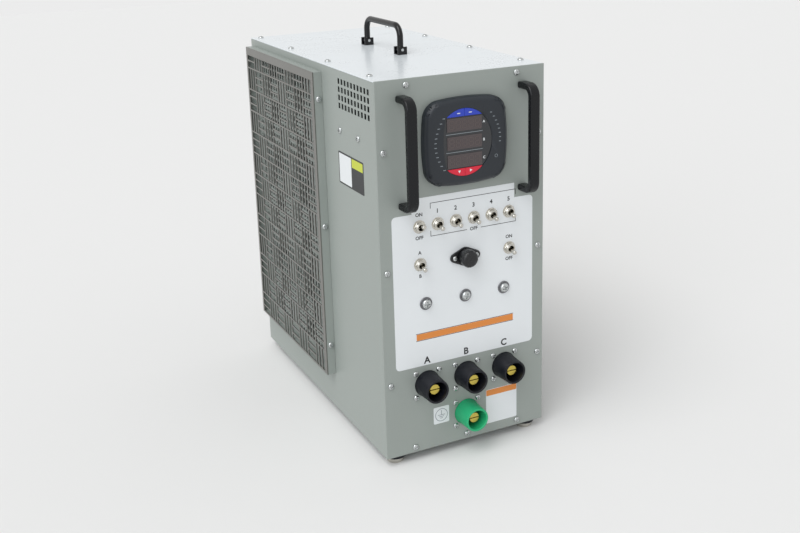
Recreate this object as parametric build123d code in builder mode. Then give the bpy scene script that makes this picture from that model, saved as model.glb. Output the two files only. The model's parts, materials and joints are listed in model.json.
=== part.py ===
from build123d import *
import math
import os

# A portable, fan-cooled load bank for testing generators: a sheet-metal case with a control
# panel in front, an intake with two fans on the right and an exhaust with a screened guard
# on the left. Millimetres, +Z up, the control panel faces -Y. The origin is at the middle
# of the foot print of the whole object, on the ground.

# ---------------------------------------------------------------- driving dimensions
body_width = 248.0
body_depth = 478.0
body_height = 520.0
foot_height = 13.0

# sheet metal
front_sheet = 2.5
side_sheet = 1.6
rear_sheet = 1.6
cover_sheet = 1.6
base_sheet = 2.0
divider_sheet = 1.6
flange = 22.0
sheet_gap = 0.3

# small round parts, such as screw heads, are drawn with this many sides
small_round_sides = 14

# panel screws
head_radius = 4.3
head_height = 2.8
edge_inset = 9.0
corner_screw_z = (107.0, 267.0, 428.0)
top_screw_x = 81.0
bottom_screw_z = 8.0

cover_screw_x = 112.0
cover_screw_y = (39.7, 180.5, 325.4, 464.0)
side_screws = ((55.5, 437.0), (116.0, 437.0))
rear_screw_x = 112.0
rear_screw_z = (12.0, 175.0, 340.0, 505.0)

# feet
foot_inset_x = 20.0
foot_inset_y = 18.0
pad_radius = 15.0
pad_height = 6.5
glide_radius = 12.0

# front pull handles
handle_x = 89.3
handle_z = 425.5
handle_span = 140.0
handle_reach = 35.0
handle_width = 14.5
handle_thickness = 9.0
handle_bend = 17.0

# folding handle on the cover
bail_y = 239.0
bail_span = 115.0
bail_radius = 4.4
bail_height = 40.0
bail_bend = 16.0
pivot_height = 6.8
bail_eye_radius = 5.3
pivot_pin_radius = 2.0
running_gap = 0.08
block_width = 14.0
block_height = 11.0
block_ear = 2.6
block_floor = 1.1
slot_clearance = 0.35

# power meter
meter_z = 431.5
meter_width = 123.0
meter_height = 116.5
meter_depth = 14.0
meter_bulge = 5.0
meter_corner = 24.0
meter_edge = 5.0
meter_case_radius = 50.0
meter_case_depth = 74.0
lens_half_width = 36.0
lens_half_height = 45.0
segment_chord = 34.0
segment_half_width = 26.8
button_travel = 1.0
button_end_gap = 0.3
button_height = 2.4
button_gap = 0.35
window_width = 51.0
window_height = 17.5
window_pitch = 24.0
window_x = -5.0
window_thickness = 0.8
window_inset = 0.1

# control label
label_bottom = 126.3
label_top = 341.5
label_half_width = 106.5
label_tab_top = 362.0
label_tab_half_width = 77.5
label_corner = 6.0
label_thickness = 0.3
label_hole_gap = 0.5

# toggle switches
toggle_pitch = 27.1
toggle_row_x = -67.0
toggle_row_z = 323.4
toggle_low_z = 271.3
control_power_x = 69.0
toggle_tilt = 13.0
toggle_pivot_reach = 1.0
toggle_tip_reach = 17.0
toggle_barrel_radius = 3.2
toggle_barrel_width = 4.4
toggle_stem = 1.9
toggle_bat = 3.0
bushing_radius = 6.0
bushing_bore = 4.2
bushing_reach = 7.0
ring_radius = 9.0
ring_thickness = 1.9
case_width = 16.0
case_height = 28.0
case_depth = 24.0

# fuse holder
fuse_z = 271.3
fuse_base_length = 45.0
fuse_base_height = 26.0
fuse_base_thickness = 3.0
fuse_screw_x = 16.3
fuse_tube_radius = 9.0
fuse_tube_depth = 52.0
fuse_radius = 5.15
fuse_length = 46.0
fuse_bore_gap = 0.4
fuse_end_gap = 1.0
fuse_knob_radius = 12.0
fuse_knob_reach = 20.0
fuse_knob_chamfer = 2.0
fuse_knob_socket = 6.0
fuse_screw_radius = 3.4
fuse_screw_height = 2.0

# three stud screws with washers
stud_z = 215.3
stud_pitch = 60.0
stud_head_radius = 6.4
stud_head_chamfer = 1.6
stud_head_height = 4.4
washer_radius = 8.9
washer_thickness = 1.4

# single-pole receptacles
receptacle_pitch = 60.2
receptacle_z = 98.7
ground_z = 41.7
sleeve_radius = 18.5
sleeve_mouth_radius = 16.8
sleeve_bore = 13.7
sleeve_reach = 31.0
sleeve_hole_gap = 0.3
flange_half = 23.0
flange_thickness = 4.0
pin_radius = 7.0
pin_reach = 21.5
pin_slot_width = 1.3
pin_slot_depth = 5.0
pin_tail = 30.0
pin_tail_radius = 6.0
receptacle_screw_half = 17.6
receptacle_screw_radius = 3.9
receptacle_screw_height = 2.6

# vent in the left side, near the front
vent_columns = 10
vent_rows = 4
vent_pitch_y = 10.6
vent_pitch_z = 11.0
vent_first_y = 20.8
vent_top_z = 503.6
vent_hole_width = 6.6
vent_hole_height = 7.6

# exhaust: a window in the left side behind a standing guard
guard_front = 175.5
guard_rear = 466.0
guard_bottom = 56.5
guard_top = 508.0
guard_stand = 13.5
guard_sheet = 1.6
screen_sheet = 1.5
exhaust_margin = 16.0
weave_pitch = 34.8
weave_columns = 8
weave_rows = 12
weave_slots = 3
weave_bar = 2.6
weave_front_margin = 8.0
weave_bottom_margin = 1.6
weave_top_margin = 12.0
guard_screw_z = (470.0, 285.5, 103.0)

# divider between the control compartment and the load chamber
divider_y = 150.0

# intake fans on the right side
fan_size = 222.0
fan_rim = 4.0
fan_depth = 78.0
fan_wall = 2.5
fan_flange = 3.0
fan_y = 316.0
fan_z_lower = 140.0
fan_z_upper = 376.0
fan_motor_radius = 36.0
fan_motor_length = 34.0
fan_strut_width = 8.0
fan_strut_thickness = 5.0
fan_hub_radius = 40.0
fan_hub_length = 28.0
fan_blades = 7
fan_root_chord = 32.0
fan_tip_chord = 44.0
fan_blade_pitch = 34.0
fan_blade_sheet = 2.2
blade_sink = 2.0
fan_tip_gap = 4.0
shaft_radius = 5.0
shaft_depth = 12.0
shaft_end_gap = 1.0
fan_hub_gap = 0.6
intake_guard_wire = 2.5
intake_guard_radii = (34.0, 60.0, 86.0)
intake_guard_end = 112.0

# load elements: three phases across, one row of rods for each load step
element_columns = 3
element_rows = 5
element_pitch_x = 36.0
element_pitch_z = 84.0
element_height = 56.0
element_thickness = 3.0
element_first_x = -88.0
element_first_z = 92.0
rack_sheet = 2.0
rack_margin = 22.0
rack_front_y = 160.0
rack_rear_y = 470.0
insulator_size = 22.0
insulator_thickness = 12.0

# contactors, control transformer, bus bars and current transformers
contactor_width = 45.0
contactor_height = 74.0
contactor_depth = 78.0
contactor_base = 34.0
contactor_step = 14.0
contactor_low_z = 150.0
contactor_high_z = 232.0
contactor_pitch = 60.2
transformer_width = 66.0
transformer_height = 56.0
transformer_depth = 60.0
transformer_x = 66.0
transformer_y = 100.0
transformer_core = 16.0
bar_width = 18.0
bar_thickness = 3.0
bar_end_margin = 12.0
sensor_width = 34.0
sensor_height = 22.0
sensor_depth = 12.0
sensor_z = 126.0
sensor_gap = 0.4

# ---------------------------------------------------------------- derived places
front_reach = handle_reach
rear_reach = head_height
left_reach = guard_stand
right_reach = 2 * intake_guard_wire
mid_x = (left_reach - right_reach) / 2
front_y = front_reach - (body_depth + front_reach + rear_reach) / 2
half_width = body_width / 2
inner_half = half_width - side_sheet

corner = Vector(mid_x, front_y, foot_height)
front_face = Plane(origin=corner, x_dir=(1, 0, 0), z_dir=(0, -1, 0))
rear_face = Plane(origin=corner + Vector(0, body_depth, 0), x_dir=(-1, 0, 0), z_dir=(0, 1, 0))
left_face = Plane(origin=corner - Vector(half_width, 0, 0), x_dir=(0, -1, 0), z_dir=(-1, 0, 0))
right_face = Plane(origin=corner + Vector(half_width, 0, 0), x_dir=(0, 1, 0), z_dir=(1, 0, 0))
floor_face = Plane(origin=corner, x_dir=(1, 0, 0), z_dir=(0, 0, 1))
cover_face = floor_face.offset(body_height)


def turning_plane(face, across, up, depth=0.0, tilt=0.0):
    """A plane for a turned piece on a face: local x runs outwards, local y is the radius."""
    start = face.from_local_coords((across, up, -depth))
    lean = math.radians(tilt)
    outwards = face.z_dir * math.cos(lean) + face.y_dir * math.sin(lean)
    upwards = face.y_dir * math.cos(lean) - face.z_dir * math.sin(lean)
    return Plane(origin=start, x_dir=outwards, z_dir=outwards.cross(upwards))


def turn(place, outline):
    """Turn an outline of (reach, radius) points about the local x axis of a turning plane."""
    with BuildSketch(place) as profile:
        with BuildLine():
            Polyline(*outline, close=True)
        make_face()
    revolve(profile.sketch, axis=Axis(place.origin, place.x_dir))


def discs(face, places, radius, height):
    """Round discs standing on a face."""
    with BuildSketch(face) as outlines:
        with Locations(*places):
            Circle(radius)
    extrude(outlines.sketch, amount=height)


def small_rounds(face, places, radius, height, mode=Mode.ADD):
    """Small round bars or bores on a face, drawn with few sides to keep the model light."""
    with BuildSketch(face) as outlines:
        with Locations(*places):
            RegularPolygon(radius, small_round_sides)
    extrude(outlines.sketch, amount=height, mode=mode)


def block(x, y, z, mode=Mode.ADD):
    """A box from pairs of limits: across from the middle, back from the front face, up."""
    with BuildSketch(floor_face.offset(z[0])) as base:
        with Locations(((x[0] + x[1]) / 2, (y[0] + y[1]) / 2)):
            Rectangle(x[1] - x[0], y[1] - y[0])
    extrude(base.sketch, amount=z[1] - z[0], mode=mode)


def round_holes(face, places, radius, depth):
    """Round holes from a face inwards."""
    with BuildSketch(face) as holes:
        with Locations(*places):
            Circle(radius)
    extrude(holes.sketch, amount=-depth, mode=Mode.SUBTRACT)


os.makedirs("parts", exist_ok=True)


def save(builder, name):
    """Label a finished sub-part and write it under its name."""
    builder.part.label = name
    export_step(builder.part, "parts/" + name + ".step")


# ---------------------------------------------------------------- places on the control panel
toggle_places = {"master_load": (toggle_row_x, toggle_row_z)}
for step in range(1, 6):
    toggle_places["load_step_" + str(step)] = (toggle_row_x + step * toggle_pitch, toggle_row_z)
toggle_places["voltage_select"] = (toggle_row_x, toggle_low_z)
toggle_places["control_power"] = (control_power_x, toggle_low_z)
sleeve_places = {
    "phase_a": (-receptacle_pitch, receptacle_z),
    "phase_b": (0, receptacle_z),
    "phase_c": (receptacle_pitch, receptacle_z),
    "ground": (0, ground_z),
}
stud_places = [(-stud_pitch, stud_z), (0, stud_z), (stud_pitch, stud_z)]
fan_places = {"lower": (fan_y, fan_z_lower), "upper": (fan_y, fan_z_upper)}
fan_bore = fan_size / 2 - fan_rim

# ---------------------------------------------------------------- case
inner_rear = body_depth - rear_sheet
inner_top = body_height - cover_sheet
pan_wall = 16.0
pan_x = inner_half
wall_bottom = pan_wall + sheet_gap

# base pan: a tray with four upturned walls
with BuildPart() as base_pan:
    block((-pan_x, pan_x), (front_sheet, inner_rear), (0, pan_wall))
    block(
        (-pan_x + base_sheet, pan_x - base_sheet),
        (front_sheet + base_sheet, inner_rear - base_sheet),
        (base_sheet, pan_wall),
        Mode.SUBTRACT,
    )
save(base_pan, "base_pan")


def side_sheet_metal(inside):
    """A side panel with a folded flange along its front, rear and top; inside is +1 or -1."""
    outer = -inside * half_width
    sheet = sorted((outer, outer + inside * side_sheet))
    folded = sorted((outer, outer + inside * flange))
    block(sheet, (front_sheet, inner_rear), (0, inner_top))
    block(folded, (front_sheet, front_sheet + side_sheet), (wall_bottom, inner_top))
    block(folded, (inner_rear - side_sheet, inner_rear), (wall_bottom, inner_top))
    block(folded, (front_sheet, inner_rear), (inner_top - side_sheet, inner_top))


# left side panel: a punched vent near the front, and the exhaust window behind the guard
window_y = (guard_front + exhaust_margin, guard_rear - exhaust_margin)
window_z = (guard_bottom + exhaust_margin, guard_top - exhaust_margin)
vent_middle_y = vent_first_y + (vent_columns - 1) * vent_pitch_y / 2
vent_middle_z = vent_top_z - (vent_rows - 1) * vent_pitch_z / 2
with BuildPart() as left_side_panel:
    side_sheet_metal(1)
    with BuildSketch(left_face) as vent:
        with Locations((-vent_middle_y, vent_middle_z)):
            with GridLocations(vent_pitch_y, vent_pitch_z, vent_columns, vent_rows):
                Rectangle(vent_hole_width, vent_hole_height)
    extrude(vent.sketch, amount=-side_sheet, mode=Mode.SUBTRACT)
    block((-half_width, -inner_half), window_y, window_z, Mode.SUBTRACT)
save(left_side_panel, "left_side_panel")

# right side panel: two round intakes, one in front of each fan
with BuildPart() as right_side_panel:
    side_sheet_metal(-1)
    round_holes(right_face, fan_places.values(), fan_bore, side_sheet)
save(right_side_panel, "right_side_panel")

# rear panel and cover: plain sheets over the flanges
with BuildPart() as rear_panel:
    block((-half_width, half_width), (inner_rear, body_depth), (0, inner_top))
save(rear_panel, "rear_panel")

with BuildPart() as top_cover:
    block((-half_width, half_width), (front_sheet, body_depth), (inner_top, body_height))
save(top_cover, "top_cover")

# front panel: the thick plate that carries the controls
with BuildPart() as front_panel:
    block((-half_width, half_width), (0, front_sheet), (0, body_height))
    small_rounds(front_face, toggle_places.values(), bushing_radius, -front_sheet, Mode.SUBTRACT)
    round_holes(front_face, sleeve_places.values(), sleeve_radius + sleeve_hole_gap, front_sheet)
    round_holes(front_face, [(0, meter_z)], meter_case_radius + sleeve_hole_gap, front_sheet)
    round_holes(front_face, [(0, fuse_z)], fuse_tube_radius, front_sheet)
save(front_panel, "front_panel")

# divider: the wall between the control compartment and the load chamber
with BuildPart() as divider_panel:
    divider_half = inner_half - base_sheet
    block(
        (-divider_half, divider_half),
        (divider_y, divider_y + divider_sheet),
        (base_sheet, inner_top - side_sheet),
    )
save(divider_panel, "divider_panel")

# feet: a rubber pad with a metal glide under it
foot_places = [
    (side * (half_width - foot_inset_x), y)
    for side in (-1, 1)
    for y in (foot_inset_y, body_depth - foot_inset_y)
]
under_face = Plane(origin=corner, x_dir=(1, 0, 0), z_dir=(0, 0, -1))
under_places = [(x, -y) for x, y in foot_places]
with BuildPart() as foot_pads:
    discs(under_face, under_places, pad_radius, pad_height)
save(foot_pads, "foot_pads")

with BuildPart() as foot_glides:
    discs(under_face.offset(pad_height), under_places, glide_radius, foot_height - pad_height)
save(foot_glides, "foot_glides")

# ---------------------------------------------------------------- exhaust guard
# frame: four walls standing off the side panel
guard_wall_reach = guard_stand - screen_sheet
guard_x = (-half_width - guard_wall_reach, -half_width)
with BuildPart() as exhaust_guard_frame:
    block(guard_x, (guard_front, guard_rear), (guard_bottom, guard_top))
    block(
        guard_x,
        (guard_front + guard_sheet, guard_rear - guard_sheet),
        (guard_bottom + guard_sheet, guard_top - guard_sheet),
        Mode.SUBTRACT,
    )
save(exhaust_guard_frame, "exhaust_guard_frame")

# screen: a basket weave of punched slots, three to a tile, turned tile by tile
slot_width = weave_pitch / weave_slots - weave_bar
slot_length = weave_pitch - weave_bar
weave_start_y = guard_front + weave_front_margin
weave_start_z = guard_bottom + weave_bottom_margin
weave_limit_z = guard_top - weave_top_margin


def weave_slots_of(column, row):
    """The slots of one tile, as (y, z, width along y, height along z)."""
    middle_y = weave_start_y + (column + 0.5) * weave_pitch
    middle_z = weave_start_z + (row + 0.5) * weave_pitch
    slots = []
    for slot in range(weave_slots):
        shift = (slot - (weave_slots - 1) / 2) * weave_pitch / weave_slots
        if (column + row) % 2:
            slots.append((middle_y, middle_z + shift, slot_length, slot_width))
        else:
            slots.append((middle_y + shift, middle_z, slot_width, slot_length))
    return slots


# slots of one size are cut together; those that reach the top margin are cut short
slot_groups = {}
for column in range(weave_columns):
    for row in range(weave_rows + 1):
        for y, z, wide, high in weave_slots_of(column, row):
            low = z - high / 2
            top = min(z + high / 2, weave_limit_z)
            if top - low > weave_bar:
                size = (round(wide, 3), round(top - low, 3))
                slot_groups.setdefault(size, []).append((-y, (low + top) / 2))

with BuildPart() as exhaust_guard_screen:
    block(
        (-half_width - guard_stand, -half_width - guard_wall_reach),
        (guard_front, guard_rear),
        (guard_bottom, guard_top),
    )
    for (wide, high), places in slot_groups.items():
        with BuildSketch(left_face.offset(guard_stand)) as weave:
            with Locations(*places):
                Rectangle(wide, high)
        extrude(weave.sketch, amount=-screen_sheet, mode=Mode.SUBTRACT)
save(exhaust_guard_screen, "exhaust_guard_screen")

# ---------------------------------------------------------------- front pull handles
for name, side in (("front_handle_left", -1), ("front_handle_right", 1)):
    with BuildPart() as pull_handle:
        low = handle_z - handle_span / 2 - handle_thickness / 2
        top = handle_z + handle_span / 2 + handle_thickness / 2
        side_plane = Plane(
            origin=front_face.from_local_coords((side * handle_x - handle_width / 2, 0, 0)),
            x_dir=(0, -1, 0),
            z_dir=(1, 0, 0),
        )
        with BuildSketch(side_plane) as bow:
            with BuildLine():
                outer_bow = FilletPolyline(
                    (0, -low),
                    (handle_reach, -low),
                    (handle_reach, -top),
                    (0, -top),
                    radius=handle_bend,
                )
                inner_bow = FilletPolyline(
                    (0, -low - handle_thickness),
                    (handle_reach - handle_thickness, -low - handle_thickness),
                    (handle_reach - handle_thickness, -top + handle_thickness),
                    (0, -top + handle_thickness),
                    radius=handle_bend - handle_thickness,
                )
                Line(outer_bow @ 0, inner_bow @ 0)
                Line(outer_bow @ 1, inner_bow @ 1)
            make_face()
        extrude(bow.sketch, amount=handle_width)
    save(pull_handle, name)

# ---------------------------------------------------------------- folding handle on the cover
block_y = [bail_y - bail_span / 2, bail_y + bail_span / 2]
slot_half = bail_radius + slot_clearance

# pivot blocks: each has two ears and a slot between them for the end of the bail
with BuildPart() as handle_blocks:
    for y in block_y:
        block_top = body_height + block_height
        ears = (y - slot_half - block_ear, y + slot_half + block_ear)
        block((-block_width / 2, block_width / 2), ears, (body_height, block_top))
        block(
            (-block_width / 2, block_width / 2),
            (y - slot_half, y + slot_half),
            (body_height + block_floor, block_top),
            Mode.SUBTRACT,
        )
        with BuildSketch(front_face.offset(-ears[0])) as bore:
            with Locations((0, body_height + pivot_height)):
                Circle(pivot_pin_radius)
        extrude(bore.sketch, amount=-(ears[1] - ears[0]), mode=Mode.SUBTRACT)
save(handle_blocks, "handle_blocks")

with BuildPart() as handle_pins:
    for y in block_y:
        pin_front = y - slot_half - block_ear
        with BuildSketch(front_face.offset(-pin_front)) as pin_end:
            with Locations((0, body_height + pivot_height)):
                Circle(pivot_pin_radius)
        extrude(pin_end.sketch, amount=-2 * (slot_half + block_ear))
save(handle_pins, "handle_pins")

# bail: a round bar bent twice, with an eye at each end round its pin
pivot_z = body_height + pivot_height
bail_top = body_height + bail_height
with BuildPart() as top_handle:
    with BuildLine() as bail_path:
        FilletPolyline(
            *[
                floor_face.from_local_coords(point)
                for point in (
                    (0, block_y[0], pivot_z),
                    (0, block_y[0], bail_top),
                    (0, block_y[1], bail_top),
                    (0, block_y[1], pivot_z),
                )
            ],
            radius=bail_bend,
        )
    foot_plane = floor_face.offset(pivot_z)
    with BuildSketch(foot_plane) as bar_section:
        with Locations((0, block_y[0])):
            Circle(bail_radius)
    sweep(bar_section.sketch, path=bail_path.wires()[0])
    for y in block_y:
        with BuildSketch(front_face.offset(-(y - bail_radius))) as eye:
            with Locations((0, pivot_z)):
                Circle(bail_eye_radius)
        extrude(eye.sketch, amount=-2 * bail_radius)
        with BuildSketch(front_face.offset(-(y - bail_radius))) as eye_bore:
            with Locations((0, pivot_z)):
                Circle(pivot_pin_radius + running_gap)
        extrude(eye_bore.sketch, amount=-2 * bail_radius, mode=Mode.SUBTRACT)
save(top_handle, "top_handle")

# ---------------------------------------------------------------- power meter
lens_depth = button_height + button_travel + button_end_gap


def lens_outline():
    """The pocket of the meter's face: four arcs between the ends of the button segments."""
    left = window_x - segment_half_width
    right = window_x + segment_half_width
    low = meter_z - segment_chord
    top = meter_z + segment_chord
    with BuildLine() as outline:
        ThreePointArc((left, low), (window_x, meter_z - lens_half_height), (right, low))
        ThreePointArc((right, low), (lens_half_width, meter_z), (right, top))
        ThreePointArc((right, top), (window_x, meter_z + lens_half_height), (left, top))
        ThreePointArc((left, top), (-lens_half_width, meter_z), (left, low))
    make_face(outline.edges())


with BuildPart() as meter_bezel:
    with BuildSketch(front_face) as bezel_outline:
        side_x = meter_width / 2 - meter_bulge
        side_z = meter_height / 2 - meter_bulge
        with BuildLine():
            ThreePointArc(
                (-side_x, meter_z - side_z),
                (0, meter_z - meter_height / 2),
                (side_x, meter_z - side_z),
            )
            ThreePointArc(
                (side_x, meter_z - side_z),
                (meter_width / 2, meter_z),
                (side_x, meter_z + side_z),
            )
            ThreePointArc(
                (side_x, meter_z + side_z),
                (0, meter_z + meter_height / 2),
                (-side_x, meter_z + side_z),
            )
            ThreePointArc(
                (-side_x, meter_z + side_z),
                (-meter_width / 2, meter_z),
                (-side_x, meter_z - side_z),
            )
        make_face()
        fillet(bezel_outline.vertices(), meter_corner)
    extrude(amount=meter_depth)
    chamfer(meter_bezel.faces().sort_by(Axis.Y)[0].edges(), meter_edge)
    with BuildSketch(front_face.offset(meter_depth)) as lens_pocket:
        lens_outline()
    extrude(lens_pocket.sketch, amount=-lens_depth, mode=Mode.SUBTRACT)
save(meter_bezel, "meter_bezel")

# lens: the flat middle of the pocket, between the upper and the lower buttons
lens_floor = front_face.offset(meter_depth - lens_depth)
lens_front = front_face.offset(meter_depth - window_thickness - window_inset)
with BuildPart() as meter_lens:
    with BuildSketch(lens_floor) as lens_middle:
        lens_outline()
        offset(amount=-button_gap, mode=Mode.REPLACE)
        with Locations((0, meter_z)):
            Rectangle(2 * lens_half_width, 2 * segment_chord, mode=Mode.INTERSECT)
    extrude(amount=lens_depth - window_thickness - window_inset)
save(meter_lens, "meter_lens")

# windows: three dark display windows on the lens
with BuildPart() as meter_windows:
    with BuildSketch(lens_front):
        with Locations((window_x, meter_z)):
            with GridLocations(window_width, window_pitch, 1, 3):
                Rectangle(window_width, window_height)
    extrude(amount=window_thickness)
save(meter_windows, "meter_windows")

# buttons: each end of the pocket is split into two halves that push in
button_back = front_face.offset(meter_depth - button_height)
for level, up in (("upper", 1), ("lower", -1)):
    for name, side in (("left", -1), ("right", 1)):
        with BuildPart() as meter_button:
            with BuildSketch(button_back):
                lens_outline()
                offset(amount=-button_gap, mode=Mode.REPLACE)
                near_x = window_x + side * (button_gap / 2 + lens_half_width / 2)
                near_z = meter_z + up * (segment_chord + button_gap + segment_chord / 2)
                with Locations((near_x, near_z)):
                    Rectangle(lens_half_width, segment_chord, mode=Mode.INTERSECT)
            extrude(amount=button_height)
        save(meter_button, "meter_button_" + level + "_" + name)

# case behind the panel
with BuildPart() as meter_case:
    with BuildSketch(front_face):
        with Locations((0, meter_z)):
            Circle(meter_case_radius)
    extrude(amount=-meter_case_depth)
save(meter_case, "meter_case")

# ---------------------------------------------------------------- control label
label_middle_z = (label_bottom + label_top) / 2
with BuildPart() as control_label:
    with BuildSketch(front_face) as label_outline:
        with Locations((0, label_middle_z)):
            RectangleRounded(2 * label_half_width, label_top - label_bottom, label_corner)
        tab_height = label_tab_top - label_middle_z
        with Locations((0, label_middle_z + tab_height / 2)):
            Rectangle(2 * label_tab_half_width, tab_height)
        with Locations(*toggle_places.values()):
            label_hole = bushing_radius + label_hole_gap
            RegularPolygon(label_hole, small_round_sides, mode=Mode.SUBTRACT)
        with Locations((0, fuse_z)):
            Circle(fuse_tube_radius + label_hole_gap, mode=Mode.SUBTRACT)
    extrude(amount=label_thickness)
save(control_label, "control_label")

# ---------------------------------------------------------------- toggle switches
toggle_spots = list(toggle_places.values())
panel_back = front_face.offset(-front_sheet)
with BuildPart() as toggle_bushings:
    small_rounds(panel_back, toggle_spots, bushing_radius, front_sheet + bushing_reach)
    ring_back = front_face.offset(label_thickness)
    small_rounds(ring_back, toggle_spots, ring_radius, ring_thickness)
    bore_length = front_sheet + bushing_reach
    small_rounds(panel_back, toggle_spots, bushing_bore, bore_length, Mode.SUBTRACT)
save(toggle_bushings, "toggle_bushings")

with BuildPart() as toggle_cases:
    for across, up in toggle_places.values():
        block(
            (across - case_width / 2, across + case_width / 2),
            (front_sheet, front_sheet + case_depth),
            (up - case_height / 2, up + case_height / 2),
        )
save(toggle_cases, "toggle_cases")

# levers: a bat that widens to its tip, on a round barrel that turns in the bushing; the
# master load lever rests up, the others rest down
lever_length = (toggle_tip_reach - toggle_pivot_reach) / math.cos(math.radians(toggle_tilt))
lever_widening = math.degrees(math.atan((toggle_bat - toggle_stem) / lever_length))
for name, (across, up) in toggle_places.items():
    with BuildPart() as toggle_lever:
        tilt = toggle_tilt if name == "master_load" else -toggle_tilt
        axis_plane = turning_plane(front_face, across, up, -toggle_pivot_reach, tilt)
        pivot = Plane(origin=axis_plane.origin, x_dir=front_face.x_dir, z_dir=axis_plane.x_dir)
        with BuildSketch(pivot) as stem:
            RegularPolygon(toggle_stem, small_round_sides)
        extrude(stem.sketch, amount=lever_length, taper=-lever_widening)
        pivot_end = Plane(origin=pivot.origin, x_dir=pivot.z_dir, z_dir=pivot.x_dir)
        with BuildSketch(pivot_end) as barrel:
            Circle(toggle_barrel_radius)
        extrude(barrel.sketch, amount=toggle_barrel_width / 2, both=True)
    save(toggle_lever, name + "_lever")

# ---------------------------------------------------------------- fuse holder
fuse_bore = fuse_radius + fuse_bore_gap
knob_back = fuse_base_thickness + sheet_gap
fuse_end = knob_back + fuse_knob_socket - sheet_gap
fuse_back = fuse_end - fuse_length
with BuildPart() as fuse_holder:
    with BuildSketch(front_face.offset(label_thickness)):
        with Locations((0, fuse_z)):
            Circle(fuse_base_height / 2)
            with Locations((-fuse_screw_x, 0), (fuse_screw_x, 0)):
                Circle(fuse_base_length / 2 - fuse_screw_x)
        make_hull()
    extrude(amount=fuse_base_thickness - label_thickness)
    with BuildSketch(front_face.offset(label_thickness)):
        with Locations((0, fuse_z)):
            Circle(fuse_tube_radius)
    extrude(amount=-(label_thickness + fuse_tube_depth))
    with BuildSketch(front_face.offset(fuse_base_thickness)):
        with Locations((0, fuse_z)):
            Circle(fuse_bore)
    extrude(amount=fuse_back - fuse_end_gap - fuse_base_thickness, mode=Mode.SUBTRACT)
save(fuse_holder, "fuse_holder")

with BuildPart() as fuse_holder_screws:
    fuse_face = front_face.offset(fuse_base_thickness)
    fuse_screws = [(-fuse_screw_x, fuse_z), (fuse_screw_x, fuse_z)]
    small_rounds(fuse_face, fuse_screws, fuse_screw_radius, fuse_screw_height)
save(fuse_holder_screws, "fuse_holder_screws")

with BuildPart() as fuse_cartridge:
    with BuildSketch(front_face.offset(fuse_end)):
        with Locations((0, fuse_z)):
            Circle(fuse_radius)
    extrude(amount=-fuse_length)
save(fuse_cartridge, "fuse_cartridge")

with BuildPart() as fuse_knob:
    discs(front_face.offset(knob_back), [(0, fuse_z)], fuse_knob_radius, fuse_knob_reach - knob_back)
    chamfer(fuse_knob.faces().sort_by(Axis.Y)[0].edges(), fuse_knob_chamfer)
    with BuildSketch(front_face.offset(knob_back)):
        with Locations((0, fuse_z)):
            Circle(fuse_radius + sheet_gap)
    extrude(amount=fuse_knob_socket, mode=Mode.SUBTRACT)
save(fuse_knob, "fuse_knob")

# ---------------------------------------------------------------- stud screws and washers
with BuildPart() as stud_washers:
    discs(front_face.offset(label_thickness), stud_places, washer_radius, washer_thickness)
save(stud_washers, "stud_washers")

with BuildPart() as stud_screws:
    washer_face = front_face.offset(label_thickness + washer_thickness)
    discs(washer_face, stud_places, stud_head_radius, stud_head_height)
    chamfer(stud_screws.faces().group_by(Axis.Y)[0].edges(), stud_head_chamfer)
save(stud_screws, "stud_screws")

# ---------------------------------------------------------------- single-pole receptacles
flange_y = (front_sheet, front_sheet + flange_thickness)
for name, (across, up) in sleeve_places.items():
    with BuildPart() as sleeve:
        turn(
            turning_plane(front_face, across, up),
            [
                (sleeve_reach, sleeve_bore),
                (sleeve_reach, sleeve_mouth_radius),
                (0, sleeve_radius),
                (-front_sheet, sleeve_radius),
                (-front_sheet, pin_tail_radius),
                (0, pin_tail_radius),
                (0, sleeve_bore),
            ],
        )
        block(
            (across - flange_half, across + flange_half),
            flange_y,
            (up - flange_half, up + flange_half),
        )
        with BuildSketch(front_face):
            with Locations((across, up)):
                Circle(pin_tail_radius)
        extrude(amount=-flange_y[1], mode=Mode.SUBTRACT)
    save(sleeve, name + "_sleeve")

with BuildPart() as contact_pins:
    for across, up in sleeve_places.values():
        turn(
            turning_plane(front_face, across, up),
            [
                (pin_reach, 0),
                (pin_reach, pin_radius),
                (0, pin_radius),
                (0, pin_tail_radius),
                (-pin_tail, pin_tail_radius),
                (-pin_tail, 0),
            ],
        )
        with BuildSketch(front_face.offset(pin_reach)):
            with Locations((across, up)):
                Rectangle(2 * pin_radius, pin_slot_width)
        extrude(amount=-pin_slot_depth, mode=Mode.SUBTRACT)
save(contact_pins, "contact_pins")

with BuildPart() as receptacle_screws:
    corners = [
        (across + side * receptacle_screw_half, up + level * receptacle_screw_half)
        for across, up in sleeve_places.values()
        for side in (-1, 1)
        for level in (-1, 1)
    ]
    small_rounds(front_face, corners, receptacle_screw_radius, receptacle_screw_height)
save(receptacle_screws, "receptacle_screws")

# ---------------------------------------------------------------- panel screws
side_screw_x = half_width - edge_inset
front_screws = [(side * side_screw_x, z) for side in (-1, 1) for z in corner_screw_z]
front_screws += [(side * top_screw_x, body_height - bottom_screw_z) for side in (-1, 1)]
front_screws += [(side * top_screw_x, bottom_screw_z) for side in (-1, 0, 1)]
with BuildPart() as front_panel_screws:
    small_rounds(front_face, front_screws, head_radius, head_height)
save(front_panel_screws, "front_panel_screws")

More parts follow.
